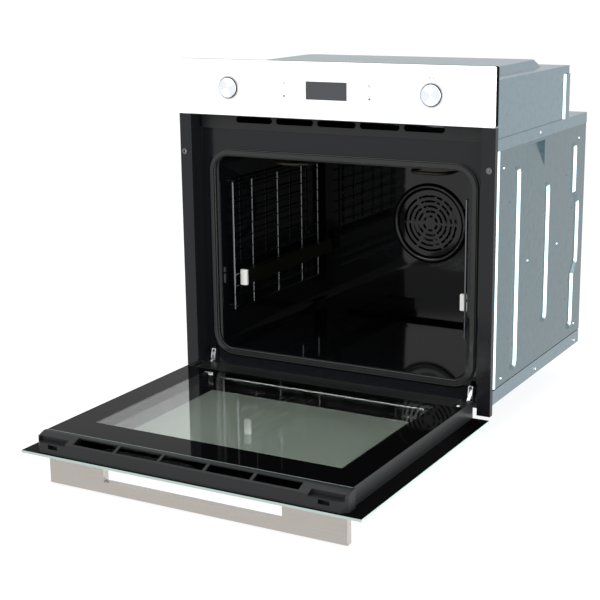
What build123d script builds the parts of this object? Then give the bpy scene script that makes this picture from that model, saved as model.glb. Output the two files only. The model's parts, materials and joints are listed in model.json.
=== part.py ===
"""Built-in electric wall oven, shown with its drop-down door open.

X runs to the right, Y to the back and Z up, in millimetres. X = 0 is the oven's middle,
Y = 0 is the plane where the front frame meets the cabinet, and Z = 0 is the oven's base.
"""
from build123d import *
from math import cos, degrees, radians, sin
import os

os.makedirs("parts", exist_ok=True)

# ---------------------------------------------------------------- driving dimensions
FRONT_W = 595            # width of the control panel, the frame and the door
PANEL_TOP = 570          # top edge of the control panel
PANEL_H = 95             # height of the control panel
GLASS_T = 4              # thickness of every pane
GLASS_FRONT = -17        # front face of the panel glass and of the closed door
GLASS_R = 3              # corner radius of the panes
FLANGE_Y = -11           # front face of the frame's side flanges
PLATE_Y = 24             # front face of the plate round the cavity mouth
RECESS_X = 274           # half width of the recess that takes the door
FRAME_TOP = 474          # top of the front frame
SHEET = 1.0              # steel of the frame, the cavity and the base
SKIN = 0.8               # galvanised steel of the casing

BODY_X = 278             # half width of the casing
BODY_DEPTH = 505         # back of the lower casing
BODY_TOP = 449           # top of the lower casing
RAIL_H = 24.5            # height of the base's side rails
UPPER_DEPTH = 395        # back of the upper housing
UPPER_TOP = 543          # top of the upper housing
LIP_H = 20               # height of the cavity cover's side lips
LID_LIP_H = 14           # height of the lid's side lips

CAVITY_X = 240           # half width inside the cavity
CAVITY_Z0 = 46           # cavity floor
CAVITY_Z1 = 398          # cavity ceiling
CAVITY_BACK = 440        # front face of the cavity's back wall
COVER_Y = 412            # front face of the fan cover
SEAL_X = 258             # outline of the door seal: half width, bottom, top, corner radius
SEAL_Z0 = 33.5
SEAL_Z1 = 411.5
SEAL_R = 42
SEAL_W = 12              # width of the seal
FAN_Z = 228              # height of the fan's axis

HINGE_X = 254            # middle of each hinge
HINGE_Y = -7             # hinge pin
HINGE_Z = 1
DOOR_BACK = -12.5        # rear edge of the open door
DOOR_LEN = 464.5         # length of the open door's outer pane
DOOR_X = 269             # half width of the door's inner body
DOOR_Z = 25              # inner face of the open door
SLOT_LEN = 38            # length of the slots that the hinge arms pass through

KNOB_X = 190             # distance of the knobs from the middle
KNOB_R = 17
KNOB_BORE_R = 17.4
SPINDLE_R = 3.0
RUN = 0.05               # radial clearance of a running fit

RACK_X = 227             # middle of the side racks' wires
RUNNER_Z = 169           # middle of the telescopic runners
RUNNER_H = 28
BLOWER_Y = 230           # axis of the cooling blower

CAVITY_H = CAVITY_Z1 - CAVITY_Z0
CAVITY_MID = (CAVITY_Z0 + CAVITY_Z1) / 2
PANEL_MID = PANEL_TOP - PANEL_H / 2
DOOR_FRONT = DOOR_BACK - DOOR_LEN
PANE_Z = HINGE_Z + GLASS_FRONT - HINGE_Y      # outer face of the open door's outer pane
PANE_IN = PANE_Z + GLASS_T                    # inner face of that pane

# places of the casing's screws on each side: (y, z)
RAIL_SCREWS = [(40, 9), (258, 9), (477, 9)]
COVER_SCREWS = [(247, 439)]


def front_plane(y):
    """Upright plane at depth y that faces the user: local x is X, local y is Z."""
    return Plane(origin=(0, y, 0), x_dir=(1, 0, 0), z_dir=(0, -1, 0))


def side_plane(x):
    """Upright plane at x that faces right: local x is Y, local y is Z."""
    return Plane(origin=(x, 0, 0), x_dir=(0, 1, 0), z_dir=(1, 0, 0))


def save(builder, name):
    builder.part.label = name
    export_step(builder.part, f"parts/{name}.step")


# ---------------------------------------------------------------- front frame
# Enamelled sheet: side flanges, a recess for the door and the plate round the cavity mouth.
MOUTH_W = 2 * (CAVITY_X + SHEET + 0.3)
MOUTH_H = CAVITY_H + 2 * SHEET + 0.6
VENT_X = 200             # half width of the row of cooling vents
BUSH_X = 288             # cabinet screw holes
BUSH_Z = 407
with BuildPart() as front_frame:
    with BuildSketch(Plane.XY):
        with Locations((0, PLATE_Y + SHEET / 2)):
            Rectangle(2 * RECESS_X + 2 * SHEET, SHEET)
        for side in (-1, 1):
            with Locations((side * (RECESS_X + SHEET / 2), (PLATE_Y + FLANGE_Y) / 2)):
                Rectangle(SHEET, PLATE_Y - FLANGE_Y)
            with Locations((side * (RECESS_X + FRONT_W / 2) / 2, FLANGE_Y + SHEET / 2)):
                Rectangle(FRONT_W / 2 - RECESS_X, SHEET)
            with Locations((side * (FRONT_W / 2 - SHEET / 2), FLANGE_Y / 2)):
                Rectangle(SHEET, -FLANGE_Y)
    extrude(amount=FRAME_TOP)
    with BuildSketch(front_plane(PLATE_Y - 1)):
        with Locations((0, CAVITY_MID)):
            RectangleRounded(MOUTH_W, MOUTH_H, 21.3)
        with Locations((-HINGE_X, 33), (HINGE_X, 33)):
            Rectangle(9, 28)
        with Locations((0, 464)):
            Rectangle(2 * VENT_X, 14)
    extrude(amount=-(SHEET + 2), mode=Mode.SUBTRACT)
    with BuildSketch(front_plane(FLANGE_Y - 1)):
        with Locations((-BUSH_X, BUSH_Z), (BUSH_X, BUSH_Z)):
            Circle(3.5)
    extrude(amount=-(SHEET + 2), mode=Mode.SUBTRACT)
save(front_frame, "front_frame")

# Eyelets in the flanges for the screws into the cabinet.
BUSH_BORE_R = 2.4
with BuildPart() as cabinet_bushes:
    with BuildSketch(front_plane(FLANGE_Y)):
        with Locations((-BUSH_X, BUSH_Z), (BUSH_X, BUSH_Z)):
            Circle(5.2)
    extrude(amount=1.6)
    with BuildSketch(front_plane(FLANGE_Y)):
        with Locations((-BUSH_X, BUSH_Z), (BUSH_X, BUSH_Z)):
            Circle(3.4)
    extrude(amount=-4)
    with BuildSketch(front_plane(FLANGE_Y - 3)):
        with Locations((-BUSH_X, BUSH_Z), (BUSH_X, BUSH_Z)):
            Circle(BUSH_BORE_R)
    extrude(amount=-10, mode=Mode.SUBTRACT)
save(cabinet_bushes, "cabinet_bushes")

# Louvre under the panel, with five slots for the cooling air.
GRILLE_Y = PLATE_Y - 5.5
GRILLE_Z0 = 447
with BuildPart() as vent_grille:
    with BuildSketch(front_plane(GRILLE_Y)):
        with Locations((0, (GRILLE_Z0 + FRAME_TOP) / 2)):
            RectangleRounded(2 * RECESS_X - 6, FRAME_TOP - GRILLE_Z0, 2)
    extrude(amount=-(PLATE_Y - GRILLE_Y - 0.2))
    with BuildSketch(front_plane(GRILLE_Y + 1.5)):
        with Locations((0, 464)):
            Rectangle(2 * VENT_X + 4, 15)
    extrude(amount=-10, mode=Mode.SUBTRACT)
    with BuildSketch(front_plane(GRILLE_Y - 1)):
        with Locations((0, 464)):
            with GridLocations(81, 1, 5, 1):
                SlotOverall(73, 11)
    extrude(amount=-4, mode=Mode.SUBTRACT)
save(vent_grille, "vent_grille")

# ---------------------------------------------------------------- cavity
LAMP_Y = 387
LAMP_Z = 352
LENS_R = 20.5
with BuildPart() as cavity_liner:
    with BuildSketch(front_plane(PLATE_Y - 0.1)):
        with Locations((0, CAVITY_MID)):
            RectangleRounded(2 * (CAVITY_X + SHEET), CAVITY_H + 2 * SHEET, 21)
    extrude(amount=-(CAVITY_BACK - PLATE_Y))
    with BuildSketch(front_plane(PLATE_Y - 0.1)):
        with Locations((0, CAVITY_MID)):
            RectangleRounded(2 * SEAL_X + 6, SEAL_Z1 - SEAL_Z0 + 6, SEAL_R + 3)
    extrude(amount=SHEET)
    with BuildSketch(front_plane(PLATE_Y - 5)):
        with Locations((0, CAVITY_MID)):
            RectangleRounded(2 * CAVITY_X, CAVITY_H, 20)
    extrude(amount=-(CAVITY_BACK + 10), mode=Mode.SUBTRACT)
    with BuildSketch(side_plane(CAVITY_X - 5)):
        with Locations((LAMP_Y, LAMP_Z)):
            Circle(LENS_R + 0.5)
    extrude(amount=20, mode=Mode.SUBTRACT)
save(cavity_liner, "cavity_liner")

# Back wall, with holes for the fan's shaft and the heating elements' ends.
RING_R = 90              # ring element round the fan
RING_GAP = 20            # half of the gap at its bottom, in degrees
RING_TAIL_X = RING_R * sin(radians(RING_GAP))
RING_TAIL_Z = FAN_Z - RING_R * cos(radians(RING_GAP))
GRILL_TAIL_X = 30
GRILL_Z = 380
with BuildPart() as cavity_back:
    with BuildSketch(front_plane(CAVITY_BACK)):
        with Locations((0, CAVITY_MID)):
            RectangleRounded(2 * (CAVITY_X + SHEET), CAVITY_H + 2 * SHEET, 21)
        with Locations((0, FAN_Z)):
            Circle(8, mode=Mode.SUBTRACT)
        with Locations((-RING_TAIL_X, RING_TAIL_Z), (RING_TAIL_X, RING_TAIL_Z)):
            Circle(4, mode=Mode.SUBTRACT)
        with Locations((-GRILL_TAIL_X, GRILL_Z), (GRILL_TAIL_X, GRILL_Z)):
            Circle(4, mode=Mode.SUBTRACT)
    extrude(amount=-SHEET)
save(cavity_back, "cavity_back")

# Pressed baffle in front of the fan: a raised ring round five rows of curved slots.
COVER_X = 216
COVER_Z0 = 73
COVER_Z1 = 372
RIM_R = 73
SLOT_BRIDGE = 8.8        # metal left between two slots of one ring, slot ends included
SLOT_RADII = [14, 24, 34, 44, 54]
SPOKES = 6
with BuildPart() as fan_cover:
    with BuildSketch(front_plane(COVER_Y)):
        with Locations((0, (COVER_Z0 + COVER_Z1) / 2)):
            RectangleRounded(2 * COVER_X, COVER_Z1 - COVER_Z0, 10)
        with Locations((0, FAN_Z)):
            Circle(RIM_R + 6, mode=Mode.SUBTRACT)
    extrude(amount=-SHEET)
    with BuildSketch(front_plane(COVER_Y)):
        with Locations((0, FAN_Z)):
            Circle(RIM_R - 6)
            for radius in SLOT_RADII:
                turn = 360 / SPOKES - degrees(SLOT_BRIDGE / radius)
                for spoke in range(SPOKES):
                    start = 30 + spoke * 360 / SPOKES - turn / 2
                    with BuildLine():
                        arc = CenterArc((0, 0), radius, start, turn)
                    SlotArc(arc, 4.6, mode=Mode.SUBTRACT)
    extrude(amount=-SHEET)
    with BuildSketch(Plane(origin=(0, COVER_Y + SHEET, FAN_Z), x_dir=(1, 0, 0), z_dir=(0, 0, 1))):
        with BuildLine():
            CenterArc((RIM_R, 0), 7, 180, 180)
            Line((RIM_R - 7, 0), (RIM_R - 6, 0))
            CenterArc((RIM_R, 0), 6, 180, 180)
            Line((RIM_R + 6, 0), (RIM_R + 7, 0))
        make_face()
    revolve(axis=Axis((0, COVER_Y, FAN_Z), (0, 1, 0)))
    for side in (-1, 1):
        with BuildSketch(side_plane(side * (COVER_X - SHEET / 2) - SHEET / 2)):
            with Locations(((COVER_Y + CAVITY_BACK) / 2, FAN_Z)):
                Rectangle(CAVITY_BACK - COVER_Y - 0.2, 270)
                with GridLocations(1, 42, 1, 6):
                    SlotOverall(30, 9, rotation=90, mode=Mode.SUBTRACT)
        extrude(amount=SHEET)
save(fan_cover, "fan_cover")

# Rubber seal round the cavity mouth: a flat foot with a hollow-looking bead in its middle.
SEAL_FRONT = 17.5
SEAL_FOOT = 2
SEAL_MID = (SEAL_Z0 + SEAL_Z1) / 2
SEAL_H = SEAL_Z1 - SEAL_Z0
with BuildPart() as door_seal:
    for depth, height, inset in ((PLATE_Y - 1.2, SEAL_FOOT, 0),
                                 (PLATE_Y - 1.2 - SEAL_FOOT, PLATE_Y - 1.2 - SEAL_FOOT - SEAL_FRONT, 2.5)):
        with BuildSketch(front_plane(depth)):
            with Locations((0, SEAL_MID)):
                RectangleRounded(2 * (SEAL_X - inset), SEAL_H - 2 * inset, SEAL_R - inset)
                hole = SEAL_W - inset
                RectangleRounded(2 * (SEAL_X - hole), SEAL_H - 2 * hole, SEAL_R - hole, mode=Mode.SUBTRACT)
        extrude(amount=height)
save(door_seal, "door_seal")

# ---------------------------------------------------------------- heating
TUBE_R = 3.2
with BuildPart() as grill_element:
    with BuildLine() as grill_route:
        FilletPolyline(
            [(-GRILL_TAIL_X, 472, GRILL_Z), (-GRILL_TAIL_X, 396, GRILL_Z), (-170, 396, GRILL_Z),
             (-170, 90, GRILL_Z), (-100, 90, GRILL_Z), (-100, 340, GRILL_Z), (100, 340, GRILL_Z),
             (100, 90, GRILL_Z), (170, 90, GRILL_Z), (170, 396, GRILL_Z),
             (GRILL_TAIL_X, 396, GRILL_Z), (GRILL_TAIL_X, 472, GRILL_Z)], radius=25)
    with BuildSketch(Plane(origin=grill_route.line @ 0, z_dir=grill_route.line % 0)):
        Circle(TUBE_R)
    sweep()
save(grill_element, "grill_element")

BASE_HEAT_Z = 37
with BuildPart() as base_element:
    with BuildLine() as base_route:
        FilletPolyline(
            [(-60, 470, BASE_HEAT_Z), (-60, 380, BASE_HEAT_Z), (-160, 380, BASE_HEAT_Z),
             (-160, 90, BASE_HEAT_Z), (160, 90, BASE_HEAT_Z), (160, 380, BASE_HEAT_Z),
             (60, 380, BASE_HEAT_Z), (60, 470, BASE_HEAT_Z)], radius=25)
    with BuildSketch(Plane(origin=base_route.line @ 0, z_dir=base_route.line % 0)):
        Circle(TUBE_R)
    sweep()
save(base_element, "base_element")

# Circular element round the fan, with two tails through the back wall.
RING_Y = 427
with BuildPart() as ring_element:
    with BuildLine(front_plane(RING_Y)) as ring_route:
        CenterArc((0, FAN_Z), RING_R, RING_GAP - 90, 360 - 2 * RING_GAP)
    with BuildSketch(Plane(origin=ring_route.line @ 0, z_dir=ring_route.line % 0)):
        Circle(TUBE_R)
    sweep()
    with BuildSketch(front_plane(RING_Y - TUBE_R)):
        with Locations((-RING_TAIL_X, RING_TAIL_Z), (RING_TAIL_X, RING_TAIL_Z)):
            Circle(TUBE_R)
    extrude(amount=-45)
save(ring_element, "ring_element")

# ---------------------------------------------------------------- fan and its motor
SHAFT_R = 4.0
with BuildPart() as convection_fan:
    with BuildSketch(front_plane(434)):
        with Locations((0, FAN_Z)):
            Circle(62)
    extrude(amount=-1.2)
    with BuildSketch(front_plane(419)):
        with Locations((0, FAN_Z)):
            Circle(11)
    extrude(amount=-15)
    with BuildSketch(front_plane(418)):
        with Locations((0, FAN_Z)):
            with PolarLocations(36, 10):
                Rectangle(44, 1.4, rotation=18)
    extrude(amount=-16.4)
    with BuildSketch(front_plane(430)):
        with Locations((0, FAN_Z)):
            Circle(SHAFT_R)
    extrude(amount=-66)
save(convection_fan, "convection_fan")

MOTOR_R = 29
with BuildPart() as convection_motor:
    with BuildSketch(front_plane(CAVITY_BACK + SHEET + 0.2)):
        with Locations((0, FAN_Z)):
            RectangleRounded(130, 44, 8)
            with GridLocations(114, 1, 2, 1):
                Circle(2.2, mode=Mode.SUBTRACT)
    extrude(amount=-1.5)
    with BuildSketch(front_plane(CAVITY_BACK + SHEET + 0.2)):
        with Locations((0, FAN_Z)):
            with PolarLocations(MOTOR_R - 5, 4, 45):
                Circle(3)
    extrude(amount=-14)
    with BuildSketch(front_plane(CAVITY_BACK + 14)):
        with Locations((0, FAN_Z)):
            Circle(MOTOR_R)
    extrude(amount=-38)
    with BuildSketch(front_plane(CAVITY_BACK)):
        with Locations((0, FAN_Z)):
            Circle(SHAFT_R + RUN)
    extrude(amount=-60, mode=Mode.SUBTRACT)
save(convection_motor, "convection_motor")

# ---------------------------------------------------------------- lamp in the right wall
with BuildPart() as oven_lamp:
    with BuildSketch(side_plane(CAVITY_X + SHEET + 0.2)):
        with Locations((LAMP_Y, LAMP_Z)):
            Circle(36)
    extrude(amount=1.5)
    with BuildSketch(side_plane(CAVITY_X + SHEET + 1.7)):
        with Locations((LAMP_Y, LAMP_Z)):
            Circle(25)
    extrude(amount=28)
    with BuildSketch(side_plane(CAVITY_X)):
        with Locations((LAMP_Y, LAMP_Z)):
            Circle(21)
    extrude(amount=24, mode=Mode.SUBTRACT)
    with BuildSketch(side_plane(CAVITY_X + 12)):
        with Locations((LAMP_Y, LAMP_Z)):
            Circle(8)
    extrude(amount=13)
    with Locations((CAVITY_X + 12, LAMP_Y, LAMP_Z)):
        Sphere(8)
save(oven_lamp, "oven_lamp")

with BuildPart() as lamp_lens:
    with BuildSketch(Plane(origin=(0, LAMP_Y, LAMP_Z), x_dir=(1, 0, 0), z_dir=(0, -1, 0))):
        with BuildLine():
            Polyline((CAVITY_X - 4, 0), (CAVITY_X - 3.5, 9), (CAVITY_X - 2, 16), (CAVITY_X + 0.9, LENS_R),
                     (CAVITY_X + 0.9, 14), (CAVITY_X - 0.5, 10), (CAVITY_X - 1, 0), (CAVITY_X - 4, 0))
        make_face()
    revolve(axis=Axis((0, LAMP_Y, LAMP_Z), (1, 0, 0)))
save(lamp_lens, "lamp_lens")

# ---------------------------------------------------------------- insulation jacket
WOOL_OUT = 267
WOOL_IN = CAVITY_X + 4
with BuildPart() as insulation:
    with BuildSketch(front_plane(PLATE_Y + 44)):
        with Locations((0, (27.5 + 446) / 2)):
            Rectangle(2 * WOOL_OUT, 446 - 27.5)
        with Locations((0, (31 + CAVITY_Z1 + 4) / 2)):
            Rectangle(2 * WOOL_IN, CAVITY_Z1 + 4 - 31, mode=Mode.SUBTRACT)
    extrude(amount=-(CAVITY_BACK - 8 - PLATE_Y - 44))
    with BuildSketch(side_plane(CAVITY_X)):
        with Locations((LAMP_Y, LAMP_Z)):
            Circle(38)
    extrude(amount=60, mode=Mode.SUBTRACT)
save(insulation, "insulation")

# ---------------------------------------------------------------- casing
# Galvanised side panels: a step behind the frame, long pressed recesses, dimples and a scoop.
STEP_IN = 4
RECESS_D = 4             # depth of the pressed recesses
RECESS_R = 18            # half their width at the outer face
WALL_RUN = 1.5           # how far their sloping walls run for each millimetre of depth
RECESSES = [
    [(141, 377), (141, 55)],
    [(291, 329), (291, 105)],
    [(437, 382), (437, 298), (460, 275), (460, 175), (439, 152), (439, 57)],
]
DIMPLES = [(78, 398), (464, 404), (202, 220), (355, 222), (85, 38), (470, 44)]
VENT_HOLES = [(447, z) for z in (274, 256, 233, 216, 193, 177)]
SMALL_HOLES = [(111, 337), (113, 102), (398, 344), (413, 105)]
SCOOP_Y = (178, 276)
SCOOP_Z = (372, 424)
SCOOP_D = 10


def outline(points, x, half):
    """Outline at X = x of a recess of that half-width along the points."""
    with BuildSketch(side_plane(x)) as shape:
        with BuildLine():
            line = Polyline(*points)
            offset(line, amount=half, side=Side.BOTH, kind=Kind.ARC)
        make_face()
    return shape.sketch.faces()[0]


def recess_tool(x_out, x_in, half_in):
    """Solids with sloping walls along the recesses, half_in wide at X = x_in."""
    with BuildPart() as tools:
        for points in RECESSES:
            wide = outline(points, x_out, half_in + WALL_RUN * (x_out - x_in))
            loft([wide, outline(points, x_in, half_in)], ruled=True)
    return tools.part


FLOOR_HALF = RECESS_R - WALL_RUN * RECESS_D
with BuildPart() as pressed:
    add(recess_tool(BODY_X - SKIN + 0.4, BODY_X - RECESS_D - SKIN, FLOOR_HALF + 0.5))
    with Locations(*[(BODY_X + 3.5, y, z) for y, z in DIMPLES]):
        Sphere(6.5)
    with BuildSketch(side_plane(BODY_X - SKIN)):
        Rectangle(2000, 2000)
    extrude(amount=40, mode=Mode.SUBTRACT)
with BuildPart() as right_side_panel:
    with BuildSketch(Plane.XY.offset(RAIL_H + 1.5)):
        with BuildLine():
            Polyline((BODY_X - STEP_IN, PLATE_Y + SHEET + 0.3), (BODY_X - STEP_IN, 50), (BODY_X, 60),
                     (BODY_X, BODY_DEPTH), (BODY_X - SKIN, BODY_DEPTH), (BODY_X - SKIN, 60.3),
                     (BODY_X - SKIN - STEP_IN, 50.3), (BODY_X - SKIN - STEP_IN, PLATE_Y + SHEET + 0.3),
                     close=True)
        make_face()
    extrude(amount=BODY_TOP - SKIN - 0.2 - RAIL_H - 1.5)
    add(pressed.part)
    add(recess_tool(BODY_X + 1, BODY_X - RECESS_D, FLOOR_HALF), mode=Mode.SUBTRACT)
    with Locations(*[(BODY_X + 3.5, y, z) for y, z in DIMPLES]):
        Sphere(6.5 - SKIN, mode=Mode.SUBTRACT)
    with BuildSketch(side_plane(BODY_X - 5)):
        with Locations(*VENT_HOLES):
            Circle(1.8)
        with Locations(*SMALL_HOLES):
            Circle(1.4)
        with Locations(*COVER_SCREWS):
            Circle(1.9)
    extrude(amount=10, mode=Mode.SUBTRACT)
    # scoop: a pocket that is deepest at its top edge and runs out at its bottom edge
    scoop_mid = sum(SCOOP_Y) / 2
    scoop_len = SCOOP_Y[1] - SCOOP_Y[0]
    with BuildSketch(front_plane(SCOOP_Y[0])):
        Polygon((BODY_X - SKIN, SCOOP_Z[0]), (BODY_X - SCOOP_D, SCOOP_Z[1]), (BODY_X - SKIN, SCOOP_Z[1]),
                align=None)
    extrude(amount=-scoop_len)
    with BuildSketch(front_plane(SCOOP_Y[0] + SKIN)):
        Polygon((BODY_X + 1, SCOOP_Z[0]), (BODY_X + SKIN, SCOOP_Z[0] + SKIN),
                (BODY_X - SCOOP_D + SKIN, SCOOP_Z[1] - SKIN), (BODY_X + 1, SCOOP_Z[1] - SKIN), align=None)
    extrude(amount=-(scoop_len - 2 * SKIN), mode=Mode.SUBTRACT)
with BuildPart() as side_panels:
    add(right_side_panel.part)
    mirror(right_side_panel.part, about=Plane.YZ)
save(side_panels, "side_panels")

# Base tray: its side rails carry the casing and stand on the cabinet's shelf.
with BuildPart() as base_panel:
    with BuildSketch(front_plane(PLATE_Y + SHEET + 0.3)):
        with Locations((0, SHEET / 2)):
            Rectangle(2 * BODY_X, SHEET)
        with Locations((BODY_X - SHEET / 2, RAIL_H / 2), (SHEET / 2 - BODY_X, RAIL_H / 2)):
            Rectangle(SHEET, RAIL_H)
        with Locations((BODY_X - 8, RAIL_H - SHEET / 2), (8 - BODY_X, RAIL_H - SHEET / 2)):
            Rectangle(16, SHEET)
    extrude(amount=-(BODY_DEPTH - PLATE_Y - 2.4))
    with BuildSketch(Plane.XY):
        with Locations((0, 270)):
            with GridLocations(60, 24, 5, 6):
                SlotOverall(40, 6)
    extrude(amount=SHEET, mode=Mode.SUBTRACT)
    with BuildSketch(side_plane(-BODY_X - 1)):
        with Locations(*RAIL_SCREWS):
            Circle(1.9)
    extrude(amount=2 * BODY_X + 2, mode=Mode.SUBTRACT)
save(base_panel, "base_panel")

TERMINAL = (170, 62)     # x and z of the mains terminals' opening
with BuildPart() as rear_panel:
    with BuildSketch(front_plane(BODY_DEPTH - SKIN)):
        with Locations((0, (RAIL_H + 1.5 + BODY_TOP - 1) / 2)):
            Rectangle(2 * (BODY_X - 1), BODY_TOP - 1 - RAIL_H - 1.5)
        with Locations(TERMINAL):
            RectangleRounded(66, 40, 3, mode=Mode.SUBTRACT)
        with Locations((0, FAN_Z)):
            with GridLocations(34, 14, 5, 8):
                SlotOverall(26, 5, mode=Mode.SUBTRACT)
    extrude(amount=-SKIN)
    for x in (-195, 195):
        with BuildSketch(front_plane(BODY_DEPTH - SKIN)):
            with Locations((x, 240)):
                RectangleRounded(60, 300, 10)
        extrude(amount=4)
        with BuildSketch(front_plane(BODY_DEPTH + 1)):
            with Locations((x, 240)):
                RectangleRounded(60 - 2 * SKIN, 300 - 2 * SKIN, 9)
        extrude(amount=5, mode=Mode.SUBTRACT)
save(rear_panel, "rear_panel")

with BuildPart() as terminal_block:
    with BuildSketch(front_plane(BODY_DEPTH - 38)):
        with Locations(TERMINAL):
            RectangleRounded(64, 38, 2)
    extrude(amount=-37)
    with BuildSketch(front_plane(BODY_DEPTH - 12)):
        with Locations((TERMINAL[0], TERMINAL[1] + 4)):
            with GridLocations(9.5, 1, 6, 1):
                Rectangle(7.5, 18)
    extrude(amount=-20, mode=Mode.SUBTRACT)
    with BuildSketch(Plane.XY.offset(TERMINAL[1] - 20)):
        with Locations((TERMINAL[0], BODY_DEPTH - 10)):
            Circle(5.5)
    extrude(amount=14, mode=Mode.SUBTRACT)
save(terminal_block, "terminal_block")

# ---------------------------------------------------------------- upper housing
LID_Z = UPPER_TOP
with BuildPart() as body_cover:
    with BuildSketch(front_plane(PLATE_Y + SHEET + 0.3)):
        with Locations((0, BODY_TOP - SKIN / 2)):
            Rectangle(2 * (BODY_X + SKIN), SKIN)
        for side in (-1, 1):
            with Locations((side * (BODY_X + SKIN / 2), BODY_TOP - LIP_H / 2)):
                Rectangle(SKIN, LIP_H)
    extrude(amount=-(BODY_DEPTH - PLATE_Y - SHEET - 0.3))
    with BuildSketch(side_plane(-BODY_X - 2)):
        with Locations(*COVER_SCREWS):
            Circle(1.9)
    extrude(amount=2 * BODY_X + 4, mode=Mode.SUBTRACT)
save(body_cover, "body_cover")

HOUSING_X = BODY_X - 1
with BuildPart() as control_housing:
    with BuildSketch(Plane.XY.offset(BODY_TOP + 0.1)):
        with Locations((0, (PLATE_Y + UPPER_DEPTH) / 2 + 0.7)):
            Rectangle(2 * HOUSING_X, UPPER_DEPTH - PLATE_Y - 1.4)
    extrude(amount=UPPER_TOP - BODY_TOP - 0.2)
    with BuildSketch(Plane.XY.offset(FRAME_TOP + 1)):
        with Locations((0, UPPER_DEPTH / 2)):
            Rectangle(2 * HOUSING_X, UPPER_DEPTH)
    extrude(amount=UPPER_TOP - FRAME_TOP - 1.1)
    with BuildSketch(Plane.XY.offset(BODY_TOP - 1)):
        with Locations((0, (UPPER_DEPTH - SKIN) / 2 - 5)):
            Rectangle(2 * (HOUSING_X - SKIN), UPPER_DEPTH - SKIN + 10)
    extrude(amount=UPPER_TOP - BODY_TOP + 2, mode=Mode.SUBTRACT)
    with BuildSketch(front_plane(UPPER_DEPTH - 5)):
        with Locations((0, 500)):
            with GridLocations(40, 12, 8, 4):
                SlotOverall(30, 5)
    extrude(amount=-10, mode=Mode.SUBTRACT)
    # corner angles that stand proud at the rear of each side, under the lid's lip
    for side in (-1, 1):
        with BuildSketch(Plane.XY.offset(BODY_TOP + 0.2)):
            Polygon((side * (HOUSING_X - SKIN / 2), UPPER_DEPTH - 27),
                    (side * (HOUSING_X + 3), UPPER_DEPTH - 22), (side * (HOUSING_X + 3), UPPER_DEPTH),
                    (side * (HOUSING_X - SKIN / 2), UPPER_DEPTH), align=None)
        extrude(amount=LID_Z + SKIN - LID_LIP_H - 0.3 - BODY_TOP - 0.2)
save(control_housing, "control_housing")

# Lid with a low pressed dome over the blower and lips that lap the housing's sides.
DOME_X = 245
DOME_Y = (88, 362)
DOME_H = 13
LID_LEN = UPPER_DEPTH + SKIN
with BuildPart() as top_cover:
    with BuildSketch(Plane.XY.offset(LID_Z)):
        with Locations((0, LID_LEN / 2)):
            Rectangle(2 * (HOUSING_X + 0.1 + SKIN), LID_LEN)
    extrude(amount=SKIN)
    for side in (-1, 1):
        with BuildSketch(Plane.XY.offset(LID_Z + SKIN - LID_LIP_H)):
            with Locations((side * (HOUSING_X + 0.1 + SKIN / 2), LID_LEN / 2)):
                Rectangle(SKIN, LID_LEN)
        extrude(amount=LID_LIP_H - SKIN)
    dome_mid = sum(DOME_Y) / 2
    dome_len = DOME_Y[1] - DOME_Y[0]
    with BuildSketch(Plane.XY.offset(LID_Z)):
        with Locations((0, dome_mid)):
            RectangleRounded(2 * DOME_X, dome_len, 30)
    extrude(amount=DOME_H, taper=45)
    with BuildSketch(Plane.XY.offset(LID_Z - SKIN)):
        with Locations((0, dome_mid)):
            RectangleRounded(2 * DOME_X, dome_len, 30)
    extrude(amount=DOME_H, taper=45, mode=Mode.SUBTRACT)
save(top_cover, "top_cover")

# Cooling blower: a scroll on the cover, its wheel and the motor above it.
SCROLL_R = 72
DUCT_END = 150
with BuildPart() as blower_housing:
    with BuildSketch(Plane.XY.offset(BODY_TOP + 0.4)):
        with Locations((0, BLOWER_Y)):
            Circle(SCROLL_R)
        with Locations((-SCROLL_R / 2, (BLOWER_Y + DUCT_END) / 2)):
            Rectangle(SCROLL_R, BLOWER_Y - DUCT_END)
    extrude(amount=46)
    with BuildSketch(Plane.XY.offset(BODY_TOP + 0.4 + 1.5)):
        with Locations((0, BLOWER_Y)):
            Circle(SCROLL_R - 1.5)
        with Locations((-SCROLL_R / 2, (BLOWER_Y + DUCT_END) / 2 - 5)):
            Rectangle(SCROLL_R - 3, BLOWER_Y - DUCT_END + 10)
    extrude(amount=43, mode=Mode.SUBTRACT)
    with BuildSketch(Plane.XY.offset(BODY_TOP + 40)):
        with Locations((0, BLOWER_Y)):
            Circle(40)
    extrude(amount=20, mode=Mode.SUBTRACT)
save(blower_housing, "blower_housing")

with BuildPart() as blower_impeller:
    with BuildSketch(Plane.XY.offset(BODY_TOP + 5)):
        with Locations((0, BLOWER_Y)):
            Circle(56)
    extrude(amount=1.5)
    with BuildSketch(Plane.XY.offset(BODY_TOP + 5)):
        with Locations((0, BLOWER_Y)):
            with PolarLocations(49, 24):
                Rectangle(12, 1.4, rotation=35)
    extrude(amount=32)
    with BuildSketch(Plane.XY.offset(BODY_TOP + 5)):
        with Locations((0, BLOWER_Y)):
            Circle(8)
    extrude(amount=25)
    with BuildSketch(Plane.XY.offset(BODY_TOP + 5)):
        with Locations((0, BLOWER_Y)):
            Circle(SHAFT_R)
    extrude(amount=68)
save(blower_impeller, "blower_impeller")

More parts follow.
